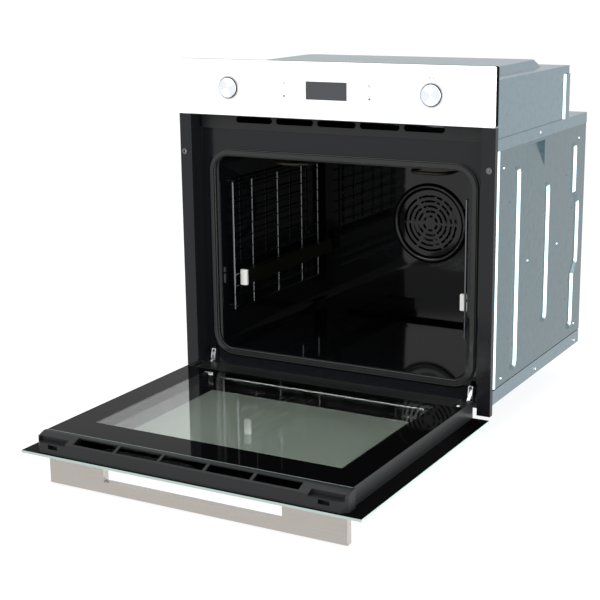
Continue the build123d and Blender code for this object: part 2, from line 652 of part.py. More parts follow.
with BuildPart() as blower_motor:
    with BuildSketch(Plane.XY.offset(BODY_TOP + 50)):
        with Locations((0, BLOWER_Y)):
            Circle(30)
    extrude(amount=30)
    with BuildSketch(Plane.XY.offset(BODY_TOP + 50)):
        with Locations((0, BLOWER_Y)):
            Rectangle(150, 18)
    extrude(amount=2)
    with BuildSketch(Plane.XY.offset(BODY_TOP + 46.6)):
        with Locations((-67, BLOWER_Y), (67, BLOWER_Y)):
            Rectangle(6, 14)
    extrude(amount=3.5)
    with BuildSketch(Plane.XY.offset(BODY_TOP + 40)):
        with Locations((0, BLOWER_Y)):
            Circle(SHAFT_R + RUN)
    extrude(amount=60, mode=Mode.SUBTRACT)
save(blower_motor, "blower_motor")

# Flat duct from the blower to the vents under the panel.
with BuildPart() as air_duct:
    with BuildSketch(Plane.XY.offset(BODY_TOP + 0.4)):
        with Locations((0, (PLATE_Y + DUCT_END) / 2 + 0.8)):
            Rectangle(2 * VENT_X + 20, DUCT_END - PLATE_Y - 2.4)
    extrude(amount=24)
    with BuildSketch(front_plane(0)):
        with Locations((0, BODY_TOP + 0.4 + 12)):
            Rectangle(2 * VENT_X + 17, 21)
    extrude(amount=-400, mode=Mode.SUBTRACT)
save(air_duct, "air_duct")

# ---------------------------------------------------------------- control panel
DISPLAY_W = 77
DISPLAY_H = 30
with BuildPart() as control_glass:
    with BuildSketch(front_plane(GLASS_FRONT)):
        with Locations((0, PANEL_MID)):
            RectangleRounded(FRONT_W, PANEL_H, GLASS_R)
            Rectangle(DISPLAY_W, DISPLAY_H, mode=Mode.SUBTRACT)
        with Locations((-KNOB_X, PANEL_MID), (KNOB_X, PANEL_MID)):
            Circle(18.8, mode=Mode.SUBTRACT)
    extrude(amount=-GLASS_T)
    chamfer(control_glass.faces().sort_by(Axis.Y)[0].outer_wire().edges(), 0.6)
save(control_glass, "control_glass")

with BuildPart() as display_window:
    with BuildSketch(front_plane(GLASS_FRONT + 0.2)):
        with Locations((0, PANEL_MID)):
            Rectangle(DISPLAY_W - 0.4, DISPLAY_H - 0.4)
    extrude(amount=-(GLASS_T - 0.4))
save(display_window, "display_window")

CARRIER_BACK = -0.3
with BuildPart() as panel_carrier:
    with BuildSketch(front_plane(GLASS_FRONT + GLASS_T + 0.2)):
        with Locations((0, PANEL_MID)):
            RectangleRounded(FRONT_W - 1, PANEL_H - 1, GLASS_R)
    extrude(amount=-(CARRIER_BACK - GLASS_FRONT - GLASS_T - 0.2))
    with BuildSketch(front_plane(GLASS_FRONT + GLASS_T + 2.7)):
        with Locations((0, PANEL_MID)):
            RectangleRounded(FRONT_W - 5, PANEL_H - 5, 2)
    extrude(amount=-40, mode=Mode.SUBTRACT)
    with BuildSketch(front_plane(GLASS_FRONT)):
        with Locations((0, PANEL_MID)):
            Rectangle(DISPLAY_W - 6, DISPLAY_H - 6)
        with Locations((-KNOB_X, PANEL_MID), (KNOB_X, PANEL_MID)):
            Circle(18.8)
    extrude(amount=-40, mode=Mode.SUBTRACT)
save(panel_carrier, "panel_carrier")

with BuildPart() as knob_bezels:
    with BuildSketch(front_plane(GLASS_FRONT)):
        with Locations((-KNOB_X, PANEL_MID), (KNOB_X, PANEL_MID)):
            Circle(20)
    extrude(amount=1.2)
    with BuildSketch(front_plane(GLASS_FRONT)):
        with Locations((-KNOB_X, PANEL_MID), (KNOB_X, PANEL_MID)):
            Circle(18.6)
    extrude(amount=-7)
    with BuildSketch(front_plane(GLASS_FRONT - 2)):
        with Locations((-KNOB_X, PANEL_MID), (KNOB_X, PANEL_MID)):
            Circle(KNOB_BORE_R)
    extrude(amount=-12, mode=Mode.SUBTRACT)
save(knob_bezels, "knob_bezels")

# Pop-out knobs: each slides on its spindle, which turns in the switch behind the panel.
KNOB_FRONT = GLASS_FRONT - 4
KNOB_OUT = 14
SWITCH_Y = 8
with BuildPart() as right_spindle:
    with BuildSketch(front_plane(KNOB_FRONT + 3)):
        with Locations((KNOB_X, PANEL_MID)):
            Circle(SPINDLE_R)
    extrude(amount=-(26 - KNOB_FRONT))
save(right_spindle, "right_spindle")

with BuildPart() as right_knob:
    with BuildSketch(front_plane(KNOB_FRONT)):
        with Locations((KNOB_X, PANEL_MID)):
            Circle(KNOB_R)
    extrude(amount=-9)
    fillet(right_knob.edges().filter_by(GeomType.CIRCLE).sort_by(Axis.Y)[0], 0.8)
    with BuildSketch(front_plane(KNOB_FRONT + 8)):
        with Locations((KNOB_X, PANEL_MID)):
            Circle(6.5)
    extrude(amount=-(SWITCH_Y - 1.5 - KNOB_FRONT - 8))
    with BuildSketch(front_plane(KNOB_FRONT + 2.5)):
        with Locations((KNOB_X, PANEL_MID)):
            Circle(SPINDLE_R + RUN)
    extrude(amount=-60, mode=Mode.SUBTRACT)
save(right_knob, "right_knob")

with BuildPart() as thermostat:
    with BuildSketch(front_plane(SWITCH_Y)):
        with Locations((KNOB_X, PANEL_MID)):
            RectangleRounded(44, 40, 3)
    extrude(amount=-26)
    with BuildSketch(front_plane(SWITCH_Y)):
        with Locations((KNOB_X, PANEL_MID)):
            Circle(SPINDLE_R + RUN)
    extrude(amount=-24, mode=Mode.SUBTRACT)
    with BuildSketch(front_plane(SWITCH_Y + 26)):
        with Locations((KNOB_X, PANEL_MID)):
            with GridLocations(10, 14, 3, 2):
                Rectangle(6, 0.8)
    extrude(amount=-9)
save(thermostat, "thermostat")

with BuildPart() as left_spindle:
    mirror(right_spindle.part, about=Plane.YZ)
save(left_spindle, "left_spindle")

with BuildPart() as left_knob:
    mirror(right_knob.part, about=Plane.YZ)
save(left_knob, "left_knob")

with BuildPart() as selector_switch:
    with BuildSketch(front_plane(SWITCH_Y)):
        with Locations((-KNOB_X, PANEL_MID)):
            RectangleRounded(40, 40, 7)
    extrude(amount=-34)
    with BuildSketch(front_plane(SWITCH_Y)):
        with Locations((-KNOB_X, PANEL_MID)):
            Circle(SPINDLE_R + RUN)
    extrude(amount=-24, mode=Mode.SUBTRACT)
    with BuildSketch(front_plane(SWITCH_Y + 34)):
        with Locations((-KNOB_X, PANEL_MID)):
            with GridLocations(10, 14, 4, 3):
                Rectangle(6, 0.8)
    extrude(amount=-9)
save(selector_switch, "selector_switch")

with BuildPart() as control_board:
    with BuildSketch(front_plane(6)):
        with Locations((0, PANEL_MID)):
            Rectangle(230, 36)
        with Locations((0, PANEL_MID - 20)):
            Rectangle(230, 20)
    extrude(amount=-1.6)
    with BuildSketch(front_plane(6)):
        with Locations((0, PANEL_MID)):
            Rectangle(DISPLAY_W - 8, DISPLAY_H - 8)
    extrude(amount=17)
    with BuildSketch(front_plane(7.6)):
        with Locations((-70, PANEL_MID)):
            Rectangle(28, 32)
        with Locations((60, PANEL_MID + 10), (60, PANEL_MID - 16), (90, PANEL_MID + 10)):
            Rectangle(16, 12)
    extrude(amount=-16)
save(control_board, "control_board")

# ---------------------------------------------------------------- side racks and runners
RACK_Y = [47, 113, 206, 299, 365]
RACK_TOP = 331
RACK_PITCH = 22.2
RACK_ENDS = (112, 346)
WIRE_R = 1.6
FRAME_WIRE_R = 2.1
with BuildPart() as right_rack:
    for y in RACK_Y:
        with BuildSketch(Plane(origin=(RACK_X, y, RACK_ENDS[0]), z_dir=(0, 0, 1))):
            Circle(FRAME_WIRE_R)
        extrude(amount=RACK_ENDS[1] - RACK_ENDS[0])
    rack_front, rack_back = RACK_Y[0], RACK_Y[-1]
    for z in RACK_ENDS:
        with BuildSketch(Plane(origin=(RACK_X, rack_front, z), z_dir=(0, 1, 0))):
            Circle(FRAME_WIRE_R)
        extrude(amount=rack_back - rack_front)
        for y in (rack_front, rack_back):
            with Locations((RACK_X, y, z)):
                Sphere(FRAME_WIRE_R)
    for level in range(10):
        with BuildSketch(Plane(origin=(RACK_X, rack_front, RACK_TOP - level * RACK_PITCH), z_dir=(0, 1, 0))):
            Circle(WIRE_R)
        extrude(amount=rack_back - rack_front)
    feet = ((rack_front + 20, RACK_ENDS[1]), (rack_back - 20, RACK_ENDS[1]), (rack_front + 20, RACK_ENDS[0]))
    for y, z in feet:
        with BuildSketch(side_plane(RACK_X)):
            with Locations((y, z)):
                Circle(FRAME_WIRE_R + 1)
        extrude(amount=CAVITY_X - RACK_X)
with BuildPart() as side_racks:
    add(right_rack.part)
    mirror(right_rack.part, about=Plane.YZ)
save(side_racks, "side_racks")

RAIL_Y = (72, 398)
CLIP_Z = RACK_TOP - 7 * RACK_PITCH
RUNNER_IN = 211          # inner face of the runners
RUNNER_OUT = 224
with BuildPart() as right_runner_rail:
    with BuildSketch(front_plane(RAIL_Y[0])):
        with Locations((RUNNER_OUT - 0.6, RUNNER_Z)):
            Rectangle(1.2, RUNNER_H)
        for edge in (-1, 1):
            with Locations((RUNNER_OUT - 3.4, RUNNER_Z + edge * (RUNNER_H / 2 - 0.6))):
                Rectangle(6.8, 1.2)
    extrude(amount=RAIL_Y[0] - RAIL_Y[1])
    for y in (90, 340):
        with BuildSketch(front_plane(y)):
            with Locations((RACK_X - 0.1, CLIP_Z)):
                Rectangle(6.2, 8)
                Circle(WIRE_R + 0.1, mode=Mode.SUBTRACT)
        extrude(amount=-12)
with BuildPart() as runner_rails:
    add(right_runner_rail.part)
    mirror(right_runner_rail.part, about=Plane.YZ)
save(runner_rails, "runner_rails")

with BuildPart() as right_runner_middle:
    with BuildSketch(front_plane(RAIL_Y[0])):
        with Locations(((RUNNER_IN + RUNNER_OUT) / 2, RUNNER_Z)):
            Rectangle(8.4, RUNNER_H - 7)
            Rectangle(10, RUNNER_H - 13, mode=Mode.SUBTRACT)
            Rectangle(1.6, RUNNER_H - 7)
    extrude(amount=RAIL_Y[0] - RAIL_Y[1])
save(right_runner_middle, "right_runner_middle")

with BuildPart() as right_runner_slide:
    with BuildSketch(front_plane(RAIL_Y[0] - 4)):
        with Locations((RUNNER_IN + 0.6, RUNNER_Z)):
            Rectangle(1.2, RUNNER_H - 2)
        for edge in (-1, 1):
            with Locations((RUNNER_IN + 2.6, RUNNER_Z + edge * (RUNNER_H / 2 - 1.6))):
                Rectangle(5.2, 1.2)
    extrude(amount=RAIL_Y[0] - RAIL_Y[1])
save(right_runner_slide, "right_runner_slide")

with BuildPart() as right_runner_cap:
    with BuildSketch(front_plane(RAIL_Y[0] - 10)):
        with Locations(((RUNNER_IN + RUNNER_OUT) / 2, RUNNER_Z)):
            RectangleRounded(RUNNER_OUT - RUNNER_IN + 0.6, RUNNER_H + 1, 1.5)
    extrude(amount=-5.9)
save(right_runner_cap, "right_runner_cap")

with BuildPart() as left_runner_middle:
    mirror(right_runner_middle.part, about=Plane.YZ)
save(left_runner_middle, "left_runner_middle")
with BuildPart() as left_runner_slide:
    mirror(right_runner_slide.part, about=Plane.YZ)
save(left_runner_slide, "left_runner_slide")
with BuildPart() as left_runner_cap:
    mirror(right_runner_cap.part, about=Plane.YZ)
save(left_runner_cap, "left_runner_cap")

# ---------------------------------------------------------------- hinges
# Each arm hooks on its receiver behind the plate and carries the pin that the door turns on.
ARM_T = 5
PIN_R = 3
SLOT_Z = 33              # middle of the hinge slots in the plate
LATCH_AT = (12, 24)      # y and z of the latch's pivot
with BuildPart() as right_hinge_arm:
    with BuildSketch(side_plane(HINGE_X - ARM_T / 2)):
        with Locations((HINGE_Y, HINGE_Z), (22, SLOT_Z)):
            Circle(6)
        make_hull()
    extrude(amount=ARM_T)
    with BuildSketch(side_plane(HINGE_X - ARM_T / 2)):
        with Locations((38, SLOT_Z + 1)):
            Rectangle(34, 10)
        with Locations((46, SLOT_Z - 5)):
            Circle(3, mode=Mode.SUBTRACT)
    extrude(amount=ARM_T)
    with BuildSketch(side_plane(HINGE_X - 9)):
        with Locations((46, SLOT_Z - 5)):
            Circle(3)
    extrude(amount=18, mode=Mode.SUBTRACT)
    with BuildSketch(side_plane(HINGE_X - 6)):
        with Locations((HINGE_Y, HINGE_Z)):
            Circle(PIN_R)
    extrude(amount=12)
    with BuildSketch(side_plane(HINGE_X - 4.2)):
        with Locations(LATCH_AT):
            Circle(1.5)
    extrude(amount=8.4)
with BuildPart() as hinge_arms:
    add(right_hinge_arm.part)
    mirror(right_hinge_arm.part, about=Plane.YZ)
save(hinge_arms, "hinge_arms")

with BuildPart() as right_receiver:
    for side in (-1, 1):
        with BuildSketch(side_plane(HINGE_X + side * 6.2 - 0.75)):
            with Locations((43, SLOT_Z)):
                Rectangle(35.4, 34)
        extrude(amount=1.5)
    with BuildSketch(front_plane(25.3)):
        with Locations((HINGE_X, SLOT_Z)):
            Rectangle(13.9, 34)
            Rectangle(9, 28, mode=Mode.SUBTRACT)
    extrude(amount=-1.2)
    with BuildSketch(front_plane(59.2)):
        with Locations((HINGE_X, SLOT_Z)):
            Rectangle(13.9, 34)
    extrude(amount=-1.5)
    with BuildSketch(side_plane(HINGE_X - 6.5)):
        with Locations((46, SLOT_Z - 5)):
            Circle(2.7)
    extrude(amount=13)
with BuildPart() as hinge_receivers:
    add(right_receiver.part)
    mirror(right_receiver.part, about=Plane.YZ)
save(hinge_receivers, "hinge_receivers")

with BuildPart() as right_latch:
    for inner in (-4.0, 2.8):
        with BuildSketch(side_plane(HINGE_X + inner)):
            with Locations(LATCH_AT):
                Circle(4.5)
            with Locations((14.5, 38)):
                Circle(3.6)
            make_hull()
            with Locations(LATCH_AT):
                Circle(1.5 + RUN, mode=Mode.SUBTRACT)
        extrude(amount=1.2)
    with BuildSketch(side_plane(HINGE_X - 4)):
        with Locations((14.5, 40.8)):
            Rectangle(6, 1.6)
    extrude(amount=8)
save(right_latch, "right_latch")
with BuildPart() as left_latch:
    mirror(right_latch.part, about=Plane.YZ)
save(left_latch, "left_latch")

# ---------------------------------------------------------------- door, lying open
RAIL_END = DOOR_BACK - 2
PANE_MID_Y = (DOOR_BACK + DOOR_FRONT) / 2
HANDLE_Y = DOOR_FRONT + 31
HANDLE_T = 12
HANDLE_X = 263
HANDLE_OUT = 52
GRIP_X = 158
GRIP_GAP = 33
FIXING_X = 212
with BuildPart() as door_outer_glass:
    with BuildSketch(Plane.XY.offset(PANE_Z)):
        with Locations((0, PANE_MID_Y)):
            RectangleRounded(FRONT_W, DOOR_LEN, GLASS_R)
        with Locations((-FIXING_X, HANDLE_Y), (FIXING_X, HANDLE_Y)):
            Circle(3.2, mode=Mode.SUBTRACT)
    extrude(amount=GLASS_T)
    chamfer(door_outer_glass.faces().sort_by(Axis.Z)[0].outer_wire().edges(), 0.6)
save(door_outer_glass, "door_outer_glass")

TRIM_BACK = DOOR_FRONT + 33
GLASS_BACK = DOOR_BACK - 41.5
INNER_X = DOOR_X - 1.3
MIDDLE_X = 240
INNER_Z = DOOR_Z - 0.6 - GLASS_T     # underside of the inner pane
MIDDLE_Z = 8
PANES_Y = (TRIM_BACK + GLASS_BACK) / 2
PANES_LEN = GLASS_BACK - TRIM_BACK
with BuildPart() as door_inner_glass:
    with BuildSketch(Plane.XY.offset(INNER_Z)):
        with Locations((0, PANES_Y)):
            RectangleRounded(2 * INNER_X, PANES_LEN - 0.6, 2)
    extrude(amount=GLASS_T)
save(door_inner_glass, "door_inner_glass")

with BuildPart() as door_middle_glass:
    with BuildSketch(Plane.XY.offset(MIDDLE_Z)):
        with Locations((0, PANES_Y)):
            RectangleRounded(2 * MIDDLE_X, PANES_LEN - 12, 2)
    extrude(amount=GLASS_T)
save(door_middle_glass, "door_middle_glass")

with BuildPart() as glass_spacers:
    for bottom, top in ((PANE_IN + 0.1, MIDDLE_Z - 0.1), (MIDDLE_Z + GLASS_T + 0.1, INNER_Z - 0.1)):
        with BuildSketch(Plane.XY.offset(bottom)):
            with Locations((0, PANES_Y)):
                with GridLocations(2 * MIDDLE_X - 30, PANES_LEN - 50, 2, 2):
                    RectangleRounded(26, 14, 2)
        extrude(amount=top - bottom)
save(glass_spacers, "glass_spacers")

# Side rails: a web with a ledge under the inner pane and a foot on the outer one.
LEDGE = 24
RAIL_FOOT = PANE_IN + 0.2
with BuildPart() as right_door_rail:
    with BuildSketch(front_plane(TRIM_BACK)):
        with Locations((DOOR_X - SHEET / 2, (RAIL_FOOT + DOOR_Z) / 2)):
            Rectangle(SHEET, DOOR_Z - RAIL_FOOT)
        with Locations((DOOR_X - LEDGE / 2, INNER_Z - 0.2 - SHEET / 2)):
            Rectangle(LEDGE, SHEET)
        with Locations((DOOR_X - 5, RAIL_FOOT + SHEET / 2)):
            Rectangle(10, SHEET)
    extrude(amount=TRIM_BACK - RAIL_END)
    with BuildSketch(Plane.XY.offset(INNER_Z - 5)):
        with Locations((HINGE_X, RAIL_END - SLOT_LEN / 2)):
            Rectangle(11, SLOT_LEN + 0.1)
    extrude(amount=10, mode=Mode.SUBTRACT)
with BuildPart() as door_side_rails:
    add(right_door_rail.part)
    mirror(right_door_rail.part, about=Plane.YZ)
save(door_side_rails, "door_side_rails")

# Base rail: covers the door's lower end beside the inner pane, open where the hinge arms pass.
END_X = 240
with BuildPart() as door_base_rail:
    with BuildSketch(side_plane(-INNER_X)):
        with Locations(((GLASS_BACK + RAIL_END) / 2, DOOR_Z - SHEET / 2)):
            Rectangle(RAIL_END - GLASS_BACK, SHEET)
    extrude(amount=2 * INNER_X)
    with BuildSketch(side_plane(-END_X)):
        with Locations((RAIL_END - SHEET / 2, (RAIL_FOOT + DOOR_Z) / 2)):
            Rectangle(SHEET, DOOR_Z - RAIL_FOOT)
    extrude(amount=2 * END_X)
    with BuildSketch(front_plane(RAIL_END - 5)):
        with Locations((0, 9)):
            with GridLocations(80, 1, 5, 1):
                SlotOverall(60, 8)
    extrude(amount=-10, mode=Mode.SUBTRACT)
    with BuildSketch(Plane.XY.offset(DOOR_Z - 5)):
        with Locations((-HINGE_X, RAIL_END - SLOT_LEN / 2), (HINGE_X, RAIL_END - SLOT_LEN / 2)):
            Rectangle(11, SLOT_LEN + 0.1)
    extrude(amount=10, mode=Mode.SUBTRACT)
save(door_base_rail, "door_base_rail")

# Black moulding along the door's top edge: a sloping face with five air slots that meet the
# oven's vent grille when the door is shut, and a notch with a hook hole at each end.
TRIM_X = 272
TRIM_FRONT = DOOR_FRONT + 3
TRIM_TOP = DOOR_Z - 1
TRIM_LIP = 16
TRIM_HOLLOW_X = 205
TRIM_WALL = 2
SLOPE_TOP_Y = TRIM_FRONT + 22
AIR_PITCH = 80.25
NOTCH_X = 240.5
NOTCH_Z = 12.5
with BuildPart() as door_trim:
    with BuildSketch(side_plane(-TRIM_X)):
        Polygon((TRIM_FRONT, RAIL_FOOT), (TRIM_FRONT, TRIM_LIP), (SLOPE_TOP_Y, TRIM_TOP),
                (TRIM_BACK - 0.2, TRIM_TOP), (TRIM_BACK - 0.2, RAIL_FOOT), align=None)
    extrude(amount=2 * TRIM_X)
    chamfer(door_trim.edges().filter_by(Axis.Z).group_by(Axis.Y)[0], 9)
    with BuildSketch(side_plane(-TRIM_HOLLOW_X)):
        Polygon((TRIM_FRONT + TRIM_WALL, RAIL_FOOT - 1), (TRIM_FRONT + TRIM_WALL, TRIM_LIP - TRIM_WALL),
                (SLOPE_TOP_Y, TRIM_TOP - TRIM_WALL), (TRIM_BACK, TRIM_TOP - TRIM_WALL),
                (TRIM_BACK, RAIL_FOOT - 1), align=None)
    extrude(amount=2 * TRIM_HOLLOW_X, mode=Mode.SUBTRACT)
    with BuildSketch(Plane.XY.offset(NOTCH_Z)):
        with Locations((-2.5, TRIM_FRONT + 12)):
            with GridLocations(AIR_PITCH, 1, 5, 1):
                Rectangle(AIR_PITCH - 5, 16)
        with Locations((-NOTCH_X, TRIM_FRONT + 5), (NOTCH_X, TRIM_FRONT + 5)):
            Rectangle(55, 12)
    extrude(amount=20, mode=Mode.SUBTRACT)
    with BuildSketch(front_plane(TRIM_FRONT - 1)):
        with Locations((3 - NOTCH_X, 7.5), (NOTCH_X - 3, 7.5)):
            Rectangle(18, 7)
    extrude(amount=-9, mode=Mode.SUBTRACT)
    with BuildSketch(Plane.XY.offset(PANE_IN)):
        with Locations((-FIXING_X, HANDLE_Y), (FIXING_X, HANDLE_Y)):
            Circle(7)
    extrude(amount=8, mode=Mode.SUBTRACT)
save(door_trim, "door_trim")

# Hinge bodies in the door's side rails: two cheeks on the pin, joined by a web.
with BuildPart() as right_door_hinge:
    for inner in (-5.0, 3.2):
        with BuildSketch(side_plane(HINGE_X + inner)):
            with Locations((HINGE_Y, HINGE_Z)):
                Circle(5.8)
            with Locations(((HINGE_Y - 150) / 2, 3)):
                Rectangle(150 + HINGE_Y, 12)
            with Locations((HINGE_Y, HINGE_Z)):
                Circle(PIN_R + RUN, mode=Mode.SUBTRACT)
        extrude(amount=1.8)
    with BuildSketch(Plane.XY.offset(-3)):
        with Locations((HINGE_X, -100)):
            Rectangle(10, 96)
    extrude(amount=1.2)
    with BuildSketch(side_plane(HINGE_X - 3.3)):
        with Locations((-140, 3)):
            Circle(3)
        with Locations((-100, 3)):
            Circle(2)
    extrude(amount=6.6)
with BuildPart() as door_hinges:
    add(right_door_hinge.part)
    mirror(right_door_hinge.part, about=Plane.YZ)
save(door_hinges, "door_hinges")

# Flat handle: a plate that stands out of the pane, cut away along the middle for the fingers.
with BuildPart() as door_handle:
    with BuildSketch(front_plane(HANDLE_Y - HANDLE_T / 2)):
        with Locations((0, PANE_Z - HANDLE_OUT / 2)):
            Rectangle(2 * HANDLE_X, HANDLE_OUT - 0.2)
        with Locations((0, PANE_Z - GRIP_GAP / 2)):
            Rectangle(2 * GRIP_X, GRIP_GAP, mode=Mode.SUBTRACT)
    extrude(amount=-HANDLE_T)
    fillet(door_handle.edges().filter_by(Axis.X).group_by(Axis.Z)[0], 1.5)
    with BuildSketch(Plane.XY.offset(PANE_Z - 26)):
        with Locations((-FIXING_X, HANDLE_Y), (FIXING_X, HANDLE_Y)):
            Circle(2.05)
    extrude(amount=30, mode=Mode.SUBTRACT)
save(door_handle, "door_handle")

with BuildPart() as handle_screws:
    with BuildSketch(Plane.XY.offset(PANE_Z - 24)):
        with Locations((-FIXING_X, HANDLE_Y), (FIXING_X, HANDLE_Y)):
            Circle(2)
    extrude(amount=25 + GLASS_T)
    with BuildSketch(Plane.XY.offset(PANE_IN + 0.2)):
        with Locations((-FIXING_X, HANDLE_Y), (FIXING_X, HANDLE_Y)):
            Circle(5)
    extrude(amount=3.5)
    with BuildSketch(Plane.XY.offset(PANE_IN + 1.7)):
        with Locations((-FIXING_X, HANDLE_Y), (FIXING_X, HANDLE_Y)):
            RegularPolygon(2, 6)
    extrude(amount=3, mode=Mode.SUBTRACT)
save(handle_screws, "handle_screws")

# ---------------------------------------------------------------- casing screws
with BuildPart() as right_screws:
    for skin_x, places in ((BODY_X, RAIL_SCREWS), (BODY_X + SKIN, COVER_SCREWS)):
        with BuildSketch(side_plane(skin_x)):
            with Locations(*places):
                Circle(3.6)
        extrude(amount=1.9, taper=18)
        with BuildSketch(side_plane(skin_x)):
            with Locations(*places):
                Circle(1.7)
        extrude(amount=-8)
with BuildPart() as casing_screws:
    add(right_screws.part)
    mirror(right_screws.part, about=Plane.YZ)
save(casing_screws, "casing_screws")
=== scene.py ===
"""Built-in wall oven with its drop-down door open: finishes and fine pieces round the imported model."""
import json
import math

import bpy
from mathutils import Matrix, Vector


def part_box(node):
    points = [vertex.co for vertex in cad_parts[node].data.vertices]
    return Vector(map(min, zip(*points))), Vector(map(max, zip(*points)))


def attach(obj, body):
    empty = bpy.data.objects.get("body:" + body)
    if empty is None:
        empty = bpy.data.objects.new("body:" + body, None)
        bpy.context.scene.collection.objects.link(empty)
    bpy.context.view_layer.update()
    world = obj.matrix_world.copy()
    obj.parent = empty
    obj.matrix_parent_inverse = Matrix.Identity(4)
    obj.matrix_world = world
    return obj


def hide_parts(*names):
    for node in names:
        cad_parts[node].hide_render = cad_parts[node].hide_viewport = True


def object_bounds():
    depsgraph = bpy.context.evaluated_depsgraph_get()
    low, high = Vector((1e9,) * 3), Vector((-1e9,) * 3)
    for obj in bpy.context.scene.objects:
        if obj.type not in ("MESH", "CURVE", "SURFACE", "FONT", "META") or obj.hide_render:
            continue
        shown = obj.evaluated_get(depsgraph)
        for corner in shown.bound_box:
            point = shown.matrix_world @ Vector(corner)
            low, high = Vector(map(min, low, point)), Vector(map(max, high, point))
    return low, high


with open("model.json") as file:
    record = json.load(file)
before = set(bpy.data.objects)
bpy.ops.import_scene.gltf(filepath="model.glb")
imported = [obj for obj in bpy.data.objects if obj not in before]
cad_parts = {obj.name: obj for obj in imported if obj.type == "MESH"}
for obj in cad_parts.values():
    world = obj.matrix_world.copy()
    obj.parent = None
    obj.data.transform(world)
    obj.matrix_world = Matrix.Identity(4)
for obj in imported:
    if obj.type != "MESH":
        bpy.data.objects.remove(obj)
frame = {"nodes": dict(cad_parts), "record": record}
cad_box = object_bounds()


# ---------------------------------------------------------------- studio
# A lit white table just under the door's handle, a white surround and large soft lamps, as in a
# product studio. The surround is dimmer behind, so that the sheet-steel side shows its tone and
# only its creases catch the lamp at the right. The table is left out of reflections and shadows.
def linear(hex_colour):
    """A colour written as #rrggbb, as linear light."""
    parts = [int(hex_colour[i:i + 2], 16) / 255 for i in (1, 3, 5)]
    return [p / 12.92 if p <= 0.04045 else ((p + 0.055) / 1.055) ** 2.4 for p in parts] + [1.0]


def add_node(tree, kind, settings=None, **links):
    """Adds a shader node; settings are its properties or input values, links are what feeds its inputs."""
    made = tree.nodes.new(kind)
    for name, value in (settings or {}).items():
        if name in made.inputs:
            made.inputs[name].default_value = value
        else:
            setattr(made, name, value)
    for name, source in links.items():
        tree.links.new(source, made.inputs[name.replace("_", " ")])
    return made


def new_material(name, colour, roughness, metallic=0.0, **sockets):
    """A material of one base colour: returns it, its node tree and its shader."""
    material = bpy.data.materials.new(name)
    material.use_nodes = True
    shader = material.node_tree.nodes["Principled BSDF"]
    shader.inputs["Base Color"].default_value = linear(colour)
    shader.inputs["Roughness"].default_value = roughness
    shader.inputs["Metallic"].default_value = metallic
    for socket, value in sockets.items():
        shader.inputs[socket.replace("_", " ")].default_value = value
    return material, material.node_tree, shader


FLOOR_DROP = 0.003
bpy.ops.object.select_all(action="DESELECT")
bpy.ops.mesh.primitive_plane_add(size=30, location=(0, 0, cad_box[0][2] - FLOOR_DROP))
floor = bpy.context.object
floor.name = "studio_floor"
table, tree, shader = new_material("light_table", "#8c8c8c", 0.9, Specular_IOR_Level=0.0,
                                   Emission_Strength=0.8)
shader.inputs["Emission Color"].default_value = (1, 1, 1, 1)
floor.data.materials.append(table)
floor.visible_glossy = False
floor.visible_shadow = False

world = bpy.data.worlds.new("studio")
bpy.context.scene.world = world
world.use_nodes = True
tree = world.node_tree
surround = tree.nodes["Background"]
surround.inputs["Color"].default_value = (1, 1, 1, 1)
way = add_node(tree, "ShaderNodeTexCoord")
parts = add_node(tree, "ShaderNodeSeparateXYZ", Vector=way.outputs["Generated"])
depth = add_node(tree, "ShaderNodeMapRange",
                 {"From Min": -0.35, "From Max": 0.6, "To Min": 1.0, "To Max": 0.72},
                 Value=parts.outputs["Y"])
sight = add_node(tree, "ShaderNodeLightPath")
level = add_node(tree, "ShaderNodeMapRange", {"To Max": 1.05}, Value=sight.outputs["Is Camera Ray"],
                 To_Min=depth.outputs["Result"])
tree.links.new(level.outputs["Result"], surround.inputs["Strength"])


def soft_lamp(name, place, aim, size, power):
    bpy.ops.object.light_add(type="AREA", location=place)
    lamp = bpy.context.object
    lamp.name = name
    lamp.data.shape = "RECTANGLE"
    lamp.data.size, lamp.data.size_y = size
    lamp.data.energy = power
    lamp.rotation_euler = (Vector(aim) - Vector(place)).to_track_quat("-Z", "Y").to_euler()


MIDDLE = (0, 0.05, 0.28)
soft_lamp("key_front_left", (-1.5, -3.2, 1.9), MIDDLE, (1.6, 1.6), 25)
soft_lamp("front_right", (2.6, -2.4, 1.2), MIDDLE, (1.2, 2.2), 30)
soft_lamp("right", (2.3, 0.4, -0.1), (0.3, 0.4, 0.2), (2.0, 1.8), 75)
soft_lamp("top", (0, -0.2, 3.0), MIDDLE, (2.6, 2.6), 35)

CAMERA_PLACE = (1.0778, -2.0162, 0.7271)
YAW, PITCH, ROLL = (math.radians(a) for a in (29.52, 13.83, -0.74))
LENS, SENSOR = 81.9, 36
bpy.ops.object.camera_add(location=CAMERA_PLACE)
camera = bpy.context.object
turned = (Matrix.Rotation(YAW, 4, "Z") @ Matrix.Rotation(math.pi / 2 - PITCH, 4, "X")
          @ Matrix.Rotation(ROLL, 4, "Z"))
camera.rotation_euler = turned.to_euler()
camera.data.lens = LENS
camera.data.sensor_width = SENSOR
bpy.context.scene.camera = camera
bpy.context.scene.view_settings.view_transform = "Standard"

# ---------------------------------------------------------------- casing
# Galvanised sheet steel, pressed and folded: side panels with stiffening recesses, base, back,
# the cover over the cavity, the narrower box for the controls and its lid with a raised field.
BODIES = frame["record"]["behaviour"]["bodies"]
BODY_OF = {node: body for body, nodes in BODIES.items() for node in nodes}


def paint(material, *nodes):
    """Gives CAD nodes their finish."""
    for name in nodes:
        mesh = frame["nodes"][name].data
        mesh.materials.clear()
        mesh.materials.append(material)


def start_edit(piece):
    bpy.ops.object.select_all(action="DESELECT")
    piece.select_set(True)
    bpy.context.view_layer.objects.active = piece
    bpy.ops.object.mode_set(mode="EDIT")


def end_edit():
    bpy.ops.object.mode_set(mode="OBJECT")


